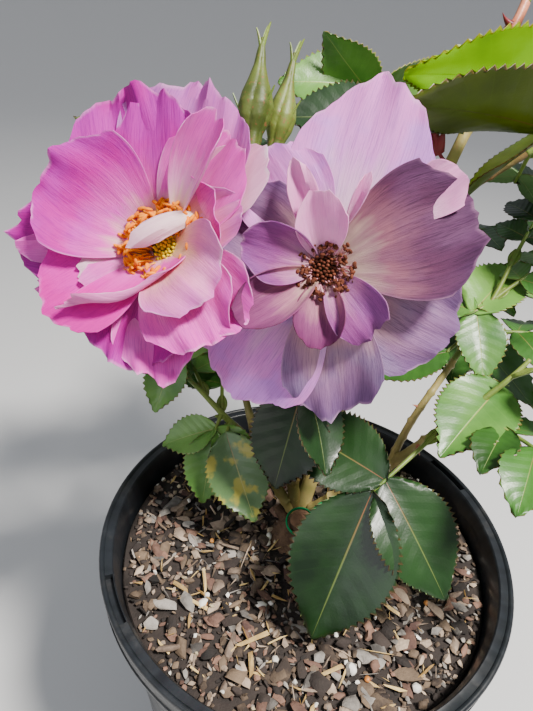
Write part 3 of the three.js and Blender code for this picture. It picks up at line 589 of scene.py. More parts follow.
def leaf_paint(name, codes, foot="8a4c34", blotch=None, roughness=0.36, through=0.0, ribs=0.16):
    """Leaflet: midrib, faint side veins, slightly puckered blade and tinted teeth."""
    dark, light, vein, edge = codes.split()
    p = Paint(name, Roughness=roughness, Specular_IOR_Level=0.5)
    across, along = p.place()
    off = p.times(p.math("ABSOLUTE", p.minus(across, 0.5)), 2.0)
    lane = p.minus(along, p.times(off, 0.2))
    lane = p.math("PINGPONG", p.times(lane, 8.0), 0.5)
    side = p.fade(lane, 0.0, 0.05, ribs, 0.0)
    rib = p.fade(off, 0.006, 0.026, 0.75, 0.0)
    shade = p.plus(p.times(p.noise(60.0, 4.0), 0.8), p.times(p.spray(), 0.35))
    base = p.ramp(shade, (0.3, dark), (0.78, light))
    if blotch:
        base = p.mix(p.fade(p.noise(120.0), 0.5, 0.62, 0.0, 0.6), base, blotch)
    base = p.mix(side, base, light)
    base = p.mix(rib, base, p.ramp(along, (0.05, foot), (0.5, vein)))
    base = p.mix(p.fade(off, 0.92, 1.0, 0.0, 0.6), base, edge)
    p.set("Base Color", base)
    swell = p.plus(lane, p.times(p.noise(1100.0, 2.0), 0.3))
    p.bump(p.minus(swell, p.times(rib, 0.6)), 0.0005, 0.35)
    if through:
        p.glow(base, through)


def stem_paint(name, codes, roughness):
    """Smooth young bark: colour drifts along the stem, with small flecks."""
    low, high, fleck = codes.split()
    p = Paint(name, Roughness=roughness, Specular_IOR_Level=0.4)
    grain = p.noise(700.0)
    base = p.ramp(p.noise(60.0), (0.35, low), (0.68, high))
    p.set("Base Color", p.mix(p.fade(grain, 0.58, 0.7, 0.0, 0.5), base, fleck))
    p.bump(grain, 0.0003, 0.5)


def grain_paint(name, codes, scale=160.0, roughness=0.85, depth=0.0006):
    """Wood, bark or stone with a mottled surface."""
    low, high = codes.split()
    p = Paint(name, Roughness=roughness)
    cloud = p.noise(scale, 5.0, 0.6)
    shade = p.plus(p.times(cloud, 0.7), p.times(p.spray(), 0.4))
    p.set("Base Color", p.ramp(shade, (0.32, low), (0.78, high)))
    p.bump(p.noise(scale * 6, 4.0, 0.6), depth, 0.7)


def pot_paint():
    """Moulded plastic: faint upright streaks, dust and a soft gloss."""
    p = Paint("pot_plastic", Specular_IOR_Level=0.5)
    x, y, z = p.split(p.where())
    turn = p.math("ARCTAN2", y, x)
    streak = p.noise(1.0, 4.0, 0.5, p.combine(p.times(turn, 24.0), p.times(z, 7.0)))
    dust = p.noise(55.0, 5.0, 0.65)
    base = p.ramp(streak, (0.35, "13161a"), (0.7, "1c2025"))
    p.set("Base Color", p.mix(p.fade(dust, 0.55, 0.8, 0.0, 0.25), base, "5d5a56"))
    p.set("Roughness", p.fade(dust, 0.35, 0.75, 0.3, 0.55))
    p.bump(streak, 0.0003, 0.3)


def plain_paint(name, codes, scale, roughness):
    low, high = codes.split()
    p = Paint(name, Roughness=roughness, Specular_IOR_Level=0.15)
    cloud = p.noise(scale)
    p.set("Base Color", p.ramp(cloud, (0.35, low), (0.7, high)))
    p.bump(cloud, 0.0002, 0.4)


def make_paints():
    pot_paint()
    # The potting mix: a dark brown taken darker still, painted shade in the gaps between the chips.
    grain_paint("mix_dark", "14100e 382e29")
    grain_paint("bark_brown", "2c221c 7c6854")
    grain_paint("bark_rust", "46302a 8e6c5a")
    grain_paint("bark_grey", "403c39 a29b93")
    grain_paint("bark_rose", "5a4a40 bca690")
    grain_paint("bark_straw", "8c6c38 dcbe80")
    grain_paint("stone_white", "c9c3b8 f0ece4", roughness=0.7, depth=0.0003)
    grain_paint("stone_cream", "a89878 d8cba8", roughness=0.7, depth=0.0003)
    grain_paint("prill_orange", "b06a2c d99a55", roughness=0.4, depth=0.0001)
    grain_paint("crown_bark", "3a2a20 84664e", 220.0, 0.9, 0.0012)
    grain_paint("sawn_wood", "5e4232 9a7258", 260.0, 0.9, 0.0004)
    stem_paint("cane_beige", "6b6a34 a8945c 946a48", 0.5)
    stem_paint("cane_brown", "5f5a2e 7f5a38 8d7a50", 0.5)
    stem_paint("cane_blush", "b4583c d89070 a84838", 0.42)
    stem_paint("thorn_red", "8a4536 b9745c 5f2f28", 0.4)
    stem_paint("young_red", "5c1420 8c2a30 40101a", 0.4)
    stem_paint("stalk_green", "4f6b26 7f8f42 7a5a3a", 0.45)
    stem_paint("bud_green", "3a4614 687430 8a4430", 0.5)
    # A darker copy of the green leaf paint: painted shade for the leaves in the shade of the blooms.
    leaf_paint("leaf_deep", "0a1d0a 1e3e16 5f6e34 5a3a24")
    leaf_paint("leaf_green", "1c3a10 3c6c26 7c9048 6a4228")
    # A lighter, yellower copy of the green leaf paint: painted light for the leaves that stand in sun.
    leaf_paint("leaf_pale", "386628 6e9c42 92a454 8a5a34", foot="a87048")
    leaf_paint("leaf_spotted", "2c4626 5c7c48 a0a060 9a8a40", blotch="b8a430")
    # Yellow-green young leaflet, its base colour brightened as painted light shining through it from behind.
    leaf_paint("leaf_lime", "90c000 c8f000 9cc800 a04a28", through=0.65, ribs=0.35)
    # Its olive neighbour: a darker copy, painted shade for the leaflet's underside in shade.
    leaf_paint("leaf_olive", "465210 6c7c1c 5c5a20 6e3a20", through=0.35)
    leaf_paint("leaf_under", "4a6a3c 6f8f58 8aa068 8a6a4a", roughness=0.7)
    petal_paint("mauve_body", "f4dcc0 d8acb4 a0749c 7c5888 503060 9484ac dcb0d4", 0.5)
    # A lighter copy of the mauve body paint: painted light for the petals that stand in sun.
    petal_paint("mauve_light", "f8e8dc f4ccec ee98ea e888dc a060b4 c494f4 fcc8ee", 0.4)
    petal_paint("mauve_dark", "f0c8b4 c880ac 9c4c90 843c80 502460 9458a0 dca0cc", 0.45)
    petal_paint("mauve_lobe", "f8d8e8 f8b0dc f898d8 fca4dc d070c0 fcb8e4 fed0ec", 0.3)
    petal_paint("mauve_spoon", "f6dcb8 cc8c9c 944c7c 783064 50204c 844070 4c1c14", 0.45)
    # A darker copy of the mauve body paint: painted shade for the petals that lie in the bloom's shadow.
    petal_paint("mauve_shadowed", "f0d4b8 a46878 683858 502a50 341a34 744a70 b888ac", 0.5)
    petal_paint("mauve_under", "f0e0d0 ecc8d8 d8a4cc c48cbc 945ca4 d8acd4 f0d0e4", 0.4)
    petal_paint("pink_body", "fee8c0 ec5cc8 cc0ca4 b80c9c 780880 cc3cc4 fcb0ec", 0.42)
    # A lighter copy of the pink body paint: painted light for the petals that stand in sun.
    petal_paint("pink_light", "feead0 fcb4e4 f468d0 ec4cc8 b030a8 f48ce0 ffd4f4", 0.38)
    petal_paint("pink_lilac", "fce4d4 e490cc da74c6 cc66c0 9048a8 d08ce0 fcc8f0", 0.42)
    petal_paint("pink_deep", "fcd0b8 f04cc8 ec08b8 e004ac a00888 f030cc fca4f0", 0.35)
    petal_paint("pink_peach", "fee8a4 fcc4a4 f494c0 dc6cc8 c050b0 f8b4d0 ffe0f6", 0.3)
    petal_paint("pink_white", "fff0d8 fce0e0 f8c0dc f4b0d8 dc80c0 fff0f4 ffffff", 0.3)
    petal_paint("pink_under", "fae8d8 facce4 f4a0d8 ec84cc bc5cac f4b4e0 fde0f4", 0.35)
    petal_paint("pink_white_back", "fcecdc fae0e0 f8d0dc f6c4dc e090c4 fff0f2 ffffff", 0.3)
    plain_paint("tie_green", "0f7a48 1fa062", 90.0, 0.4)
    plain_paint("filament_gold", "ec9000 fcb800", 300.0, 0.6)
    plain_paint("anther_gold", "e07000 f09400", 500.0, 0.7)
    plain_paint("heart_yellow", "b8a000 f0d800", 500.0, 0.7)
    plain_paint("filament_faded", "b8707c dca8b0", 300.0, 0.6)
    plain_paint("anther_spent", "3c1c12 7a4430", 500.0, 0.85)


# Pot
def inner_radius(z):
    slope = (SHOULDER_RADIUS - BASE_RADIUS) / (POT_HEIGHT - RIM_SKIRT - FLOOR)
    return BASE_RADIUS - WALL + slope * (z - FLOOR)


def make_pot():
    top = POT_HEIGHT
    skirt = top - RIM_SKIRT
    swell = SHOULDER_RADIUS - BASE_RADIUS
    profile = [(0.01, 0)]
    profile += [(BASE_RADIUS + inside, rise) for inside, rise in ((-3, 0), (-1, 0.5), (0, 2), (0.2, 6))]
    profile += [(BASE_RADIUS + swell * z / skirt, z) for z in np.linspace(12, skirt, 12)]
    profile += [(RIM_RADIUS - inside, skirt + rise) for inside, rise in RIM_LOW]
    profile += [(RIM_RADIUS - inside, top - drop) for inside, drop in RIM_HIGH]
    profile += [(inner_radius(z), z) for z in (top - 6, *np.linspace(top - 10, FLOOR + 1, 14))]
    profile += [(BASE_RADIUS - WALL - 2, FLOOR), (0.01, FLOOR)]
    build = Build()
    lathe(build, profile, 144)
    made = piece("nursery_pot", build, "pot_plastic", ["pot"], sharp=38, weld=True)
    for azimuth in SLOT_AZIMUTHS:
        angle = np.radians(azimuth + np.linspace(-SLOT_HALF_ANGLE, SLOT_HALF_ANGLE, 13))
        grid = np.array([[((SLOT_RADIUS + y) * cos(a), (SLOT_RADIUS + y) * sin(a))
                          for y in (-SLOT_HALF_WIDTH, SLOT_HALF_WIDTH)] for a in angle])
        low, high = (np.dstack([grid, np.full(grid.shape[:2], top + z)])[:, ::-1] for z in (-4, 2))
        build = Build()
        sheet(build, high, low)
        cut(made, build)
    for i in range(DRAIN_HOLES):
        angle = (i + 0.5) * TURN / DRAIN_HOLES
        build = Build()
        lathe(build, [(DRAIN_RADIUS, -3), (DRAIN_RADIUS, 6)], 24,
              center=(DRAIN_RING * cos(angle), DRAIN_RING * sin(angle), 0))
        cut(made, build)


def cut(made, build):
    """Takes a closed shape out of a piece."""
    mesh = bpy.data.meshes.new("cutter")
    verts = np.concatenate(build.verts) * MM
    mesh.from_pydata(verts.tolist(), [], [f.tolist() for block in build.faces for f in block])
    join_points(mesh, outward=True)
    tool = put("cutter", mesh)
    modifier = made.modifiers.new("cut", "BOOLEAN")
    modifier.operation = "DIFFERENCE"
    modifier.solver = "EXACT"
    modifier.object = tool
    bpy.context.view_layer.update()
    result = bpy.data.meshes.new_from_object(made.evaluated_get(bpy.context.evaluated_depsgraph_get()))
    made.modifiers.clear()
    old = made.data
    made.data = result
    bpy.data.meshes.remove(old)
    bpy.data.objects.remove(tool)
    bpy.data.meshes.remove(mesh)


# Potting mix
def lump_shapes(count, points, seed, soft):
    """Angular lumps: convex hulls of scattered points, each about 1 long."""
    random = np.random.default_rng(seed)
    found = []
    for _ in range(count):
        cloud = unit(random.normal(size=(points, 3))) * random.uniform(1 - soft, 1, (points, 1)) / 2
        work = bmesh.new()
        for point in cloud:
            work.verts.new(point)
        bmesh.ops.convex_hull(work, input=work.verts)
        loose = [v for v in work.verts if not v.link_faces]
        bmesh.ops.delete(work, geom=loose, context="VERTS")
        bmesh.ops.triangulate(work, faces=work.faces)
        work.verts.index_update()
        found.append((np.array([v.co for v in work.verts]),
                      np.array([[v.index for v in face.verts] for face in work.faces])))
        work.free()
    return found


def turned(random, flat):
    """A random turn about the vertical with a random tilt of up to flat degrees."""
    a, b, c = random.uniform(0, TURN), radians(random.normal() * flat), random.uniform(0, pi)
    spin = np.array([[cos(a), -sin(a), 0], [sin(a), cos(a), 0], [0, 0, 1]])
    lean = np.array([[1, 0, 0], [0, cos(b), -sin(b)], [0, sin(b), cos(b)]])
    late = np.array([[cos(c), -sin(c), 0], [sin(c), cos(c), 0], [0, 0, 1]])
    return spin @ lean @ late.T


def scatter(build, random, shapes, count, sizes, flat, height, marks):
    """Strews lumps over the mix."""
    for _ in range(count):
        verts, faces = shapes[random.integers(len(shapes))]
        size = np.array([random.uniform(*pair) for pair in sizes])
        radius = (STREW_REACH - 0.45 * size[0]) * sqrt(random.uniform())
        angle = random.uniform(0, TURN)
        spot = np.array([radius * cos(angle), radius * sin(angle), 0])
        if np.hypot(spot[0] - CROWN_CENTER[0], spot[1] - CROWN_CENTER[1]) < CROWN_CLEAR + 0.3 * size[0]:
            continue
        spot[2] = SOIL_LEVEL + random.uniform(*height)
        body = (verts * size) @ turned(random, flat).T
        build.add(body + spot, [faces], marks[random.integers(len(marks))], spray=random.uniform())


def make_mix():
    random = np.random.default_rng(7)
    build = Build()
    rings = np.concatenate([[1, 8, 16], np.linspace(22, 86, 26)])
    edge = inner_radius(SOIL_LEVEL) - 0.5
    profile = [(inner_radius(FLOOR) - 0.5, FLOOR + 0.4), (edge, SOIL_LEVEL - 3), (edge - 1, SOIL_LEVEL - 1.6)]
    profile += [(r, SOIL_LEVEL - 1.5) for r in rings[::-1]]
    lathe(build, profile, 120)
    top = build.verts[0]
    lumps = random.normal(size=len(top)) * 0.5
    top[:, 2] += np.where(top[:, 2] > SOIL_LEVEL - 1.55, lumps, 0)
    piece("mix_body", build, "mix_dark", ["potting_mix"], weld=True)
    shapes = dict(chunky=lump_shapes(16, 17, 3, 0.42), sliver=lump_shapes(8, 8, 4, 0.5),
                  pebble=lump_shapes(8, 36, 5, 0.12))
    for name, (colors, sharp, rows) in STREWN.items():
        build = Build()
        for shape, *row in rows:
            scatter(build, random, shapes[shape], *row)
        piece(name, build, colors, ["potting_mix"], sharp=sharp)


# Trunk and tie
def make_trunk():
    random = np.random.default_rng(12)
    build = Build()
    heights = np.linspace(0, 11.5, 18)
    radii = np.interp(heights, [h for h, _ in CROWN], [r for _, r in CROWN])
    bumps = random.normal(size=(len(heights), 56)) * 0.35

    def crown_relief(ring, angle):
        lumpy = 0.07 * np.sin(3 * angle + 1) * radii[ring] + 0.5 * np.sin(7 * angle + ring * 0.4)
        return lumpy + bumps

    def stub_relief(t, a):
        return 0.25 * np.sin(5 * a + 9 * t) + 0.2 * np.sin(11 * a - 14 * t) * (t < 0.97)
    lathe(build, list(zip(radii, heights)), 56, center=(*CROWN_CENTER, SOIL_LEVEL - 1), relief=crown_relief)
    tube(build, Curve(STUB_FOOT, STUB_TOP), taper(6, 5.2), 32, 22, relief=stub_relief)
    build.remark(1)
    tube(build, Curve((3.5, 9, SOIL_LEVEL + 4), (9.5, 14, SOIL_LEVEL + 9), (13, 17, SOIL_LEVEL + 15)),
         taper(3.4, 2.4), 14, 10)
    tube(build, Curve((-8, 9, SOIL_LEVEL + 4), (-13, 13, SOIL_LEVEL + 8), (-15, 15, SOIL_LEVEL + 11)),
         taper(3, 2), 14, 10)
    piece("crown_and_stub", build, "crown_bark sawn_wood", ["trunk"], weld=True)


def make_tie():
    build = Build()
    stub = Curve(STUB_FOOT, STUB_TOP)
    center = stub.at(TIE_PLACE)
    way = stub.way(TIE_PLACE)
    profile = [(TIE_RADIUS + 0.55 * cos(a), 1.2 * sin(a)) for a in around(14)]
    lathe(build, profile + profile[:1], 56, axis=way, center=center, closed=False)
    end = np.array(TIE_END)
    outward = end - center
    outward = unit(outward - way * np.dot(outward, way))
    foot = center + outward * TIE_RADIUS
    line = unit(end - foot)
    across = square(line, way)
    over = np.cross(across, line)
    s = np.linspace(0, 1, 16)[:, None, None]
    u = np.linspace(-1, 1, 5)[None, :, None]
    width = 1.6 - 0.5 * smooth(0.8, 1, s)
    middle = foot + (end - foot) * s + over * 0.8 * np.sin(s * 3)
    top = middle + across * u * width + over * (0.45 - 0.1 * u * u)
    sheet(build, top[:, ::-1], (top - over * 0.8)[:, ::-1])
    piece("green_tie", build, "tie_green", ["plant_tie"], weld=True)


# Limbs
def limb_curves():
    curves = {}
    for name, limb in LIMBS.items():
        start = curves[limb.parent].at(limb.at) if limb.parent else FORK
        curves[name] = limb_curve(start, heading(*limb.heading), limb.tip, heading(*limb.tip_heading))
    return curves


def prickle(build, foot, out, down, size, mark):
    """A hooked thorn on a wide foot."""
    curve = Curve(foot - out * 0.5, foot + out * size * 0.6, foot + out * size + down * size * 0.35)
    tube(build, curve, lambda t: size * 0.36 * (1 - 0.93 * t) ** 1.3, 8, 5, mark)


def young_shoot(build, foot, top, mark):
    """A short side shoot that ends in a tuft of small folded leaves."""
    tube(build, Curve(foot, (foot + top) / 2 - UP * 1.5, top), taper(1.1, 0.7), 8, 8, mark)
    way = unit(top - foot)
    for k, (side, length) in enumerate([(-0.9, 9), (-0.3, 11), (0.3, 10), (0.8, 8), (0.1, 7)]):
        lean = np.array([side, -0.4 - 0.15 * (k % 2), 0.1 * k])
        strap(build, top - way * (1 + 0.6 * k), way + lean * 0.7, UP * 0.4, unit((0.2 * side, -1, 0.3)),
              length, 3, mark)


def make_limbs():
    skin, thorn, blush, red = range(4)
    for number, (name, limb) in enumerate(LIMBS.items()):
        random = np.random.default_rng(100 + number)
        curve = curves[name]
        low, high = limb.radii
        tall = name == "cane_tall"
        nodes = np.linspace(0.12, 0.95, 7 if limb.parent else 11)

        def relief(t, a):
            swell = sum(0.16 * low * np.exp(-((t - n) / 0.012) ** 2) * (1.2 + np.cos(a - 2.4 * k))
                        for k, n in enumerate(nodes))
            return swell + 0.03 * low * np.sin(3 * a + 9 * t)
        build = Build()
        length = np.linalg.norm(np.diff(curve.at(np.linspace(0, 1, 30)), axis=0), axis=1).sum()
        end = BLUSH_FROM if tall else 1
        steps = int(end * length / 1.4)
        tube(build, curve, taper(low, high), 16, steps, skin, 0, end, random.uniform(), relief)
        for _ in range(int(length / (TALL_PRICKLE_GAP if tall else PRICKLE_GAP))):
            t = random.uniform(0.1, 0.98)
            way = curve.way(t)
            out = square(way, random.normal(size=3))
            spot = curve.at(t) + out * (low + (high - low) * t) * 0.96
            prickle(build, spot, out, -way, random.uniform(2.2, 4.4), thorn)
        if tall:
            tube(build, curve, taper(low, high), 16, 24, blush, end, 1, relief=relief)
            prickle(build, curve.at(0.955), unit((-0.95, -0.25, 0.3)), UP, 8, red)
            prickle(build, curve.at(0.9), unit((0.9, -0.4, 0)), -UP, 5, red)
            young_shoot(build, curve.at(0.71), np.array([42, 76, 365.5]), red)
        piece(name + "_skin", build, f"cane_{limb.skin} thorn_red cane_blush young_red", [name])


# Leaves
def outline(s):
    """Half width of a leaflet along its length, 1 at the widest."""
    return np.sin(pi * np.clip(s, 0.0001, 0.9999) ** 0.85) ** 0.75 * (1 - 0.2 * smooth(0.7, 0.97, s))


def leaflet(build, foot, way, normal, length, tone, spray, fine):
    across = square(normal, way)
    over = np.cross(way, across)
    teeth = int(np.clip(length / (TOOTH if fine else ROUGH_TOOTH), 8, 24))
    rows = 2 * teeth + 1
    half = length * LEAF_RATIO / 2
    s = np.linspace(0.0, 1.0, rows)[:, None]
    u = np.array([-1, -0.9, -0.62, -0.32, 0, 0.32, 0.62, 0.9, 1])[None, :]
    width = np.maximum(half * outline(s), 0.25)
    rim = np.abs(u) > 0.95
    tip = (np.arange(rows) % 2 == 1)[:, None]
    bite = np.minimum(0.035 * length, 0.34 * width) * (s > 0.05) * (s < 0.99)
    side = u * width - np.sign(u) * rim * np.where(tip, 0, bite)
    ahead = s + rim * tip * 0.5 / rows
    lane = 8 * (s - 0.24 * np.abs(u))
    pucker = 0.005 * length * np.abs(np.sin(pi * lane)) * (1 - np.abs(u)) * np.abs(u) * 3
    sway = 0.018 * length * np.sin(5 * s + 40 * spray) * u
    sway = sway + 0.02 * length * np.sin(9 * s + 17 * spray) * u * u
    rise = 0.22 * np.abs(side) - 0.16 * length * s * s + pucker + sway
    spot = foot + way * (ahead * length - 1)[..., None] - across * side[..., None] + over * rise[..., None]
    place = np.stack([(u + 1) / 2 + 0 * s, s + 0 * u], -1)
    thick = over * HALF_THICK
    # The lime and olive leaflets show their painted light and painted shade on both faces.
    back = tone if tone in (BACKLIT_LIME, SHADED_OLIVE) else UNDER
    sheet(build, spot + thick, spot - thick, tone, back, place, spray)


def leaf_plan(foot, leaf):
    """The leaflets and rachis of one leaf, by the solids' rule."""
    foot, knee, tip, face = (vec(v) for v in (foot, leaf.knee, leaf.tip, leaf.face))
    end_way = tip - knee
    length = np.linalg.norm(end_way)
    end_way = end_way / length
    reach = np.linalg.norm(knee - foot)
    normal = unit(face - end_way * np.dot(face, end_way))
    rachis = Curve(foot, (foot + knee) / 2 + normal * 0.1 * reach, knee)
    found = [(knee, end_way, normal, length)]
    for at, usual, size in LEAFLET_PAIRS[:leaf.pairs]:
        tangent = rachis.way(at)
        over = unit(normal - tangent * np.dot(normal, tangent))
        across = np.cross(over, tangent)
        for hand in (-1, 1):
            a = radians(leaf.spread or usual)
            way = unit(tangent * cos(a) + across * hand * sin(a) - over * 0.1)
            tilted = over + across * hand * 0.12
            found.append((rachis.at(at), way, unit(tilted - way * np.dot(tilted, way)), length * size))
    return rachis, normal, found


def rule_leaves(shoot, curve):
    """Leaves along a shoot, by the solids' seeded rule."""
    random = chance(shoot.seed)
    low, high = shoot.turns
    for i in range(shoot.leaves):
        at = 0.16 + 0.84 * (i + 0.5) / shoot.leaves
        turn = low + ((i * GOLDEN_TURN + 40 * next(random) + 3600) % 360) * (high - low) / 360
        rise = -14 + 44 * at + 16 * (next(random) - 0.5)
        reach = shoot.reach * (1.1 - 0.3 * at) * (0.9 + 0.2 * next(random))
        foot = curve.at(at)
        way = heading(turn, 90 - rise)
        knee = foot + way * reach * 0.5 + UP * 0.08 * reach
        face = UP + way * (0.3 + 0.3 * next(random))
        # Plain, painted-light and painted-shade copies of the leaf paint are dealt out in turn.
        yield Leaf(at, knee, foot + way * reach, face, (GREEN, SUNLIT, SHADED)[i % 3])


def shoot_curve(shoot, limb):
    start = limb.at(1)
    end = vec(shoot.end)
    middle = (start + end) / 2 + vec(shoot.bow)
    first = start + limb.way(1) * 0.4 * np.linalg.norm(middle - start)
    return Curve(start, first, middle + (end - middle) / 3, end)


def make_shoots():
    for name, shoot in SHOOTS.items():
        random = np.random.default_rng(shoot.seed)
        curve = shoot_curve(shoot, curves[shoot.limb])
        build = Build()
        tube(build, curve, taper(LIMBS[shoot.limb].radii[1], 0.9), 12, 40, STALK)
        for number, leaf in enumerate([*shoot.aimed, *rule_leaves(shoot, curve)]):
            rachis, normal, leaflets = leaf_plan(curve.at(leaf.at), leaf)
            tube(build, rachis, taper(1.15, 0.7), 8, 14, STALK)
            stipules(build, rachis, normal)
            for row in leaflets:
                leaflet(build, *row, leaf.tone, random.uniform(), number < len(shoot.aimed))
        piece(name + "_leaves", build, FOLIAGE, [name], sharp=0)


def stipules(build, rachis, normal):
    """Two narrow wings along the foot of a leaf stalk."""
    t = np.linspace(0, 0.22, 7)
    middle = rachis.at(t)
    way = rachis.way(t)
    across = square(normal, way)
    width = (2.2 * np.sin(np.linspace(0.5, 2.9, 7)))[:, None]
    for hand in (-1, 1):
        near = middle + across * hand * 0.6
        far = middle + across * hand * (0.6 + width) + way * 1.2 + normal * 0.5
        grid = np.stack([near, (near + far) / 2, far], 1)[:, ::hand]
        sheet(build, grid + normal * 0.15, grid - normal * 0.15, STALK)


# Blooms
def bloom_frame(bloom):
    axis = unit(bloom.facing)
    right = square(UP, axis)
    return vec(bloom.center), axis, right, np.cross(axis, right)


def run_up(values, step):
    """The running sum of values times step, from 0."""
    return np.concatenate([[0], np.cumsum(values) * step])


def petal_surface(place, petal, u, v, random):
    """The middle surface of a petal over a grid of u across and v along, both bent as in the solids."""
    center, axis, right, over = place
    ph = random.uniform(0, 6, 8)
    edge = (1 - petal.shoulder * np.abs(u) ** 2.4 + petal.skew * u + petal.point * np.exp(-(u / 0.14) ** 2)
            - petal.notch * np.exp(-(u / 0.2) ** 2)
            + 0.018 * np.sin(7 * u + ph[0]) + 0.013 * np.sin(17 * u + ph[1]) + 0.006 * np.sin(43 * u + ph[2]))
    s = v * edge
    grid = np.linspace(0, 1.15, 231)
    middle = (grid[1:] + grid[:-1]) / 2
    slope = np.radians(petal.lift + (petal.tip_lift - petal.lift) * middle
                       + petal.tip_roll * smooth(0.65, 1, middle))
    step = petal.length * (grid[1] - grid[0])
    out = np.interp(s, grid, run_up(np.cos(slope), step))
    height = np.interp(s, grid, run_up(np.sin(slope), step))
    tilt = np.interp(s, middle, slope)
    q = np.linspace(0, 1, 101)
    mid = (q[1:] + q[:-1]) / 2
    side, rise = np.zeros_like(u), np.zeros_like(u)
    for hand, roll in ((-1, 0), (1, petal.roll_right)):
        angle = np.radians(petal.cup * 2 * mid + roll * smooth(0.5, 1, mid))
        pick = np.sign(u) == hand
        reach = np.concatenate([[0], np.cumsum(np.cos(angle)) / 100])
        climb = np.concatenate([[0], np.cumsum(np.sin(angle)) / 100])
        side = np.where(pick, hand * np.interp(np.abs(u), q, reach), side)
        rise = np.where(pick, np.interp(np.abs(u), q, climb), rise)
    body = np.sin(pi / 2 * np.minimum(1, s / WIDEST)) ** 1.15
    shrink = 1 - 0.14 * np.maximum(0, (s - WIDEST) / 0.34) ** 2
    half = petal.width / 2 * (petal.claw + (1 - petal.claw) * body) * shrink
    wave = petal.ruffle * s ** 3 * np.sin(pi * petal.waves * u)
    wave = wave + petal.ruffle * 0.55 * s ** 5 * np.sin(pi * petal.waves * 2.6 * u + ph[3] + 2 * s)
    wave = wave + 0.22 * petal.ruffle * s ** 9 * np.sin(pi * petal.waves * 6.1 * u + ph[6])
    wave = wave + 0.3 * s ** 2 * np.sin(13 * u + ph[4] + 1.5 * s) + 0.5 * np.sin(5 * u + ph[5] + 4 * s) * s
    outward = spoke(right, over, radians(petal.turn))
    across = np.cross(outward, axis)
    normal = axis * np.cos(tilt)[..., None] - outward * np.sin(tilt)[..., None]
    return (center + outward * (petal.out + out)[..., None] + axis * (petal.up + height)[..., None]
            + across * (half * side + petal.bend * petal.length * s * s)[..., None]
            + normal * (half * rise + wave)[..., None]), s


def make_bloom(bloom):
    place = bloom_frame(bloom)
    for number, petal in enumerate(bloom.petals):
        random = np.random.default_rng(1000 + number + len(bloom.petals) * 50)
        rows = int(petal.length / 1.1)
        cols = int(petal.width / 1.1) | 1
        u = np.sin(np.linspace(-1, 1, cols) * pi / 2)
        u, reach = np.meshgrid(u, np.linspace(0, 1, rows) ** 0.9)
        grid, s = petal_surface(place, petal, u, reach, random)
        normals = square(np.gradient(grid, axis=1), np.gradient(grid, axis=0))
        if np.mean(np.sum(normals * place[1], -1)) < 0 and petal.tip_lift < 90:
            grid, normals, u, s, reach = (a[:, ::-1] for a in (grid, -normals, u, s, reach))
        thick = normals * (HALF_THICK * (1 - 0.4 * s))[..., None]
        build = Build()
        where = np.stack([(u + 1) / 2, reach], -1)
        sheet(build, grid + thick, grid - thick, 0, 1, where, random.uniform())
        front = f"{bloom.kind}_{petal.tone}"
        back = "pink_white_back" if front == "pink_white" else bloom.kind + "_under"
        piece(f"bloom_{bloom.kind}_petal_{number + 1}", build, f"{front} {back}", ["bloom_" + bloom.kind],
              sharp=60)


def stamens(bloom, colors, count, ring, reach, lean, seed, anther, shift=(0, 0)):
    """A boss of filaments with anthers round a heart of short styles."""
    center, axis, right, over = bloom_frame(bloom)
    center = center + right * shift[0] + over * shift[1]
    random = np.random.default_rng(seed)
    build = Build()
    for k in range(count):
        out = spoke(right, over, k * radians(GOLDEN_TURN) + random.normal() * 0.2)
        r = ring * (0.55 + 0.45 * sqrt((k + 0.5) / count))
        tilt = radians(lean * (0.5 + 0.7 * (k + 0.5) / count) + random.normal() * 9)
        way = out * sin(tilt) + axis * cos(tilt)
        size = reach * random.uniform(0.75, 1.12)
        foot = center + out * r + axis * 1.5
        side = np.cross(out, axis) * random.normal() * 1.4
        end = foot + way * size + side
        tube(build, Curve(foot, foot + axis * size * 0.45, end), taper(0.3, 0.2), 5, 6)
        lump(build, end, unit(side + way * 0.6 + random.normal(size=3) * 0.5), anther, random, 1)
    for k in range(STYLES):
        r = STYLE_RING * sqrt((k + 0.5) / STYLES)
        out = spoke(right, over, k * radians(GOLDEN_TURN))
        foot = center + out * r * 0.8 + axis * 1.0
        end = center + out * r + axis * (4.6 - 1.2 * (r / STYLE_RING) ** 2 + random.uniform(0, 1))
        tube(build, Curve(foot, end), taper(0.5, 0.4), 5, 2, 2)
        lump(build, end, axis, (0.75, 0.75, 0.6), random, 2)
    piece(bloom.kind + "_stamens", build, colors, ["bloom_" + bloom.kind], sharp=0)


def lump(build, center, axis, radii, random, mark):
    """A small rounded body, longest along its axis."""
    side = square(axis, (0.3, 0.5, 0.81))
    over = np.cross(axis, side)
    lat = np.linspace(-1, 1, 5) * pi / 2
    lon = around(7)
    ring = (center + axis * radii[0] * np.sin(lat)[:, None, None]
            + side * (radii[1] * np.cos(lat)[:, None] * np.cos(lon))[..., None]
            + over * (radii[2] * np.cos(lat)[:, None] * np.sin(lon))[..., None])
    build.add(ring, [grid_faces(5, 7, wrap=True)], mark, spray=random.uniform())


def make_sepals(bloom, build):
    """Hip and five sepals under a bloom."""
    center, axis, right, over = bloom_frame(bloom)
    profile = [(1.5, -15.2), (2.6, -14), (4.2, -11), (4.3, -8.5), (3.2, -5), (4.5, -2.5), (5, -1)]
    lathe(build, profile, 20, axis=axis, center=center)
    for k in range(5):
        out = spoke(right, over, radians(72 * k + 20))
        strap(build, center + out * 3 - axis * 2.5, out * 0.8 - axis * 0.35, -axis, out, 27, 4.2)


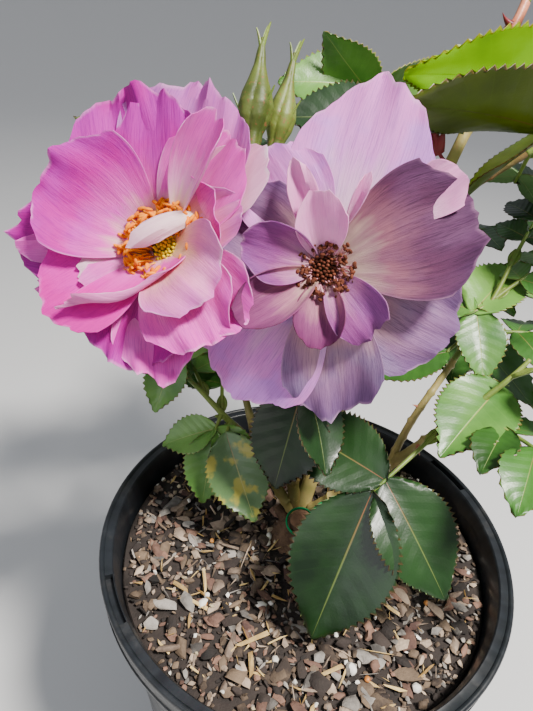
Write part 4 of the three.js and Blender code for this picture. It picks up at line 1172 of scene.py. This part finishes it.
def strap(build, foot, way, bend, face, length, width, mark=0, rows=14):
    """A pointed strip: a sepal, a bract or a young leaf."""
    s = np.linspace(0, 1, rows)[:, None, None]
    u = np.linspace(-1, 1, 5)[None, :, None]
    way = unit(way)
    across = square(way, face)
    line = foot + way * length * s + bend * length * 0.5 * s * s
    half = width * (0.75 + 0.5 * s) * (1 - s) ** 0.7 + 0.15
    over = square(across, way)
    top = line + across * u * half - over * 0.5 * (u * u) * half
    sheet(build, top + over * HALF_THICK, top - over * HALF_THICK, mark)


def make_bud(build, foot, top, radius):
    """A closed bud: five ribbed sepals that run out to leafy points."""
    curve = Curve(foot, top)

    def size(t):
        return radius * np.interp(np.asarray(t) * 8, np.arange(9), BUD_STATIONS)

    def relief(t, a):
        seam = np.abs(np.sin(2.5 * (a + 0.8 * t)))
        return size(t) * (0.16 * seam ** 0.7 - 0.14)
    tube(build, curve, lambda t: size(t) * 1.04, 60, 60, 1, relief=relief)
    way = curve.way(0.5)
    side = square(way, (0, 1, 0))
    front = np.cross(way, side)
    for k in range(3):
        out = spoke(side, front, radians(115 * k + 20))
        strap(build, curve.at(0.86) + out * 0.7, way + out * 0.12, out * 0.3, out, 9 + 2 * k, 1.0)
        strap(build, curve.at(0.3 + 0.08 * k) + out * size(0.36) * 0.92, way * 0.8 + out * 0.55, way * 0.3,
              out, 6, 0.45, rows=7)
    lathe(build, [(1.6, -7.5), (2.6, -6), (3.1, -3.5), (2.7, -0.5)], 20, axis=way, center=foot)


def make_cluster():
    build = Build()
    limb = curves["cane_center"]
    way = limb.way(1)
    fork = vec(CLUSTER_FORK)
    tube(build, limb_curve(limb.at(1), way, fork, way), taper(2.1, 1.8), 14, 14)
    for bloom in (PINK, MAUVE):
        center, axis, _, _ = bloom_frame(bloom)
        seat = center + axis * (-HIP_DROP - HIP_HEIGHT / 2 - 0.3)
        rise = unit(way + unit(seat - fork))
        tube(build, limb_curve(fork, rise, seat, axis), taper(1.6, 1.45), 12, 36)
        make_sepals(bloom, build)
    for foot, top, radius in BUDS:
        foot, top = vec(foot), vec(top)
        axis = unit(top - foot)
        tube(build, limb_curve(fork, way, foot + axis, axis), taper(1.45, 1.3), 12, 26)
        make_bud(build, foot, top, radius)
    for k in range(4):
        out = heading(60 + 95 * k, 60)
        strap(build, fork - way * 1.5 + out * 1.2, out, -UP * 0.4, UP, 13, 2.4)
    piece("stalks_and_buds", build, "stalk_green bud_green", ["flower_cluster"], sharp=40)


# Camera, floor and light
def stand(made, place, *axes):
    """Puts an object at a place, with its own axes along these."""
    made.matrix_world = Matrix.Translation(place) @ Matrix(axes).transposed().to_4x4()


def make_camera():
    data = bpy.data.cameras.new("camera")
    data.lens = CAMERA_LENS
    data.sensor_width = SENSOR_WIDTH
    data.sensor_fit = "AUTO"
    made = put("camera", data)
    stand(made, CAMERA_PLACE, CAMERA_RIGHT, CAMERA_TOP, CAMERA_BACK)
    bpy.context.scene.camera = made


def area(name, place, size, power, tint):
    """A round soft light aimed at the plant."""
    data = bpy.data.lights.new(name, "AREA")
    data.shape = "DISK"
    data.size = size
    data.energy = power
    data.color = tint
    back = unit(vec(place) - LIGHT_AIM)
    right = square(UP, back)
    stand(put(name, data), place, tuple(right), tuple(np.cross(back, right)), tuple(back))


def make_studio():
    bend = np.linspace(0.1, 1.5, 16)
    rings = np.concatenate([[0.01, 0.5, 1.5, 2.5], 2.5 + 3.5 * np.sin(bend)])
    rise = np.concatenate([[0, 0, 0, 0], 3.5 * (1 - np.cos(bend))])
    points = [(r * cos(a), r * sin(a), z) for r, z in zip(rings, rise) for a in around(96)]
    floor = bpy.data.meshes.new("floor")
    floor.from_pydata(points, [], grid_faces(len(rings), 96, wrap=True).tolist() + [tuple(range(96))])
    floor.shade_smooth()
    floor.materials.append(Paint("floor_pale", Base_Color=(0.6, 0.6, 0.6, 1), Roughness=0.9).material)
    made = put("floor", floor)
    world = bpy.data.worlds.new("soft")
    world.use_nodes = True
    sky = world.node_tree.nodes["Background"].inputs
    sky[0].default_value = (0.88, 0.92, 1.0, 1)
    sky[1].default_value = 0.5
    bpy.context.scene.world = world
    area("key", (0.52, -0.36, 1.4), 0.26, 52, (1.0, 0.96, 0.9))
    area("fill", (-0.9, -1.1, 1.0), 1.2, 7, (0.95, 0.97, 1.0))


make_camera()
make_paints()
curves = limb_curves()
make_pot()
make_mix()
make_trunk()
make_tie()
make_limbs()
make_shoots()
make_bloom(MAUVE)
make_bloom(PINK)
stamens(PINK, "filament_gold anther_gold heart_yellow", 200, 9, 9, 48, 31, (1.8, 0.85, 0.7), (4.4, -0.6))
stamens(MAUVE, "filament_faded anther_spent anther_spent", 120, 6, 6, 38, 32, (1.0, 0.75, 0.65))
make_cluster()
make_studio()

bpy.context.view_layer.update()
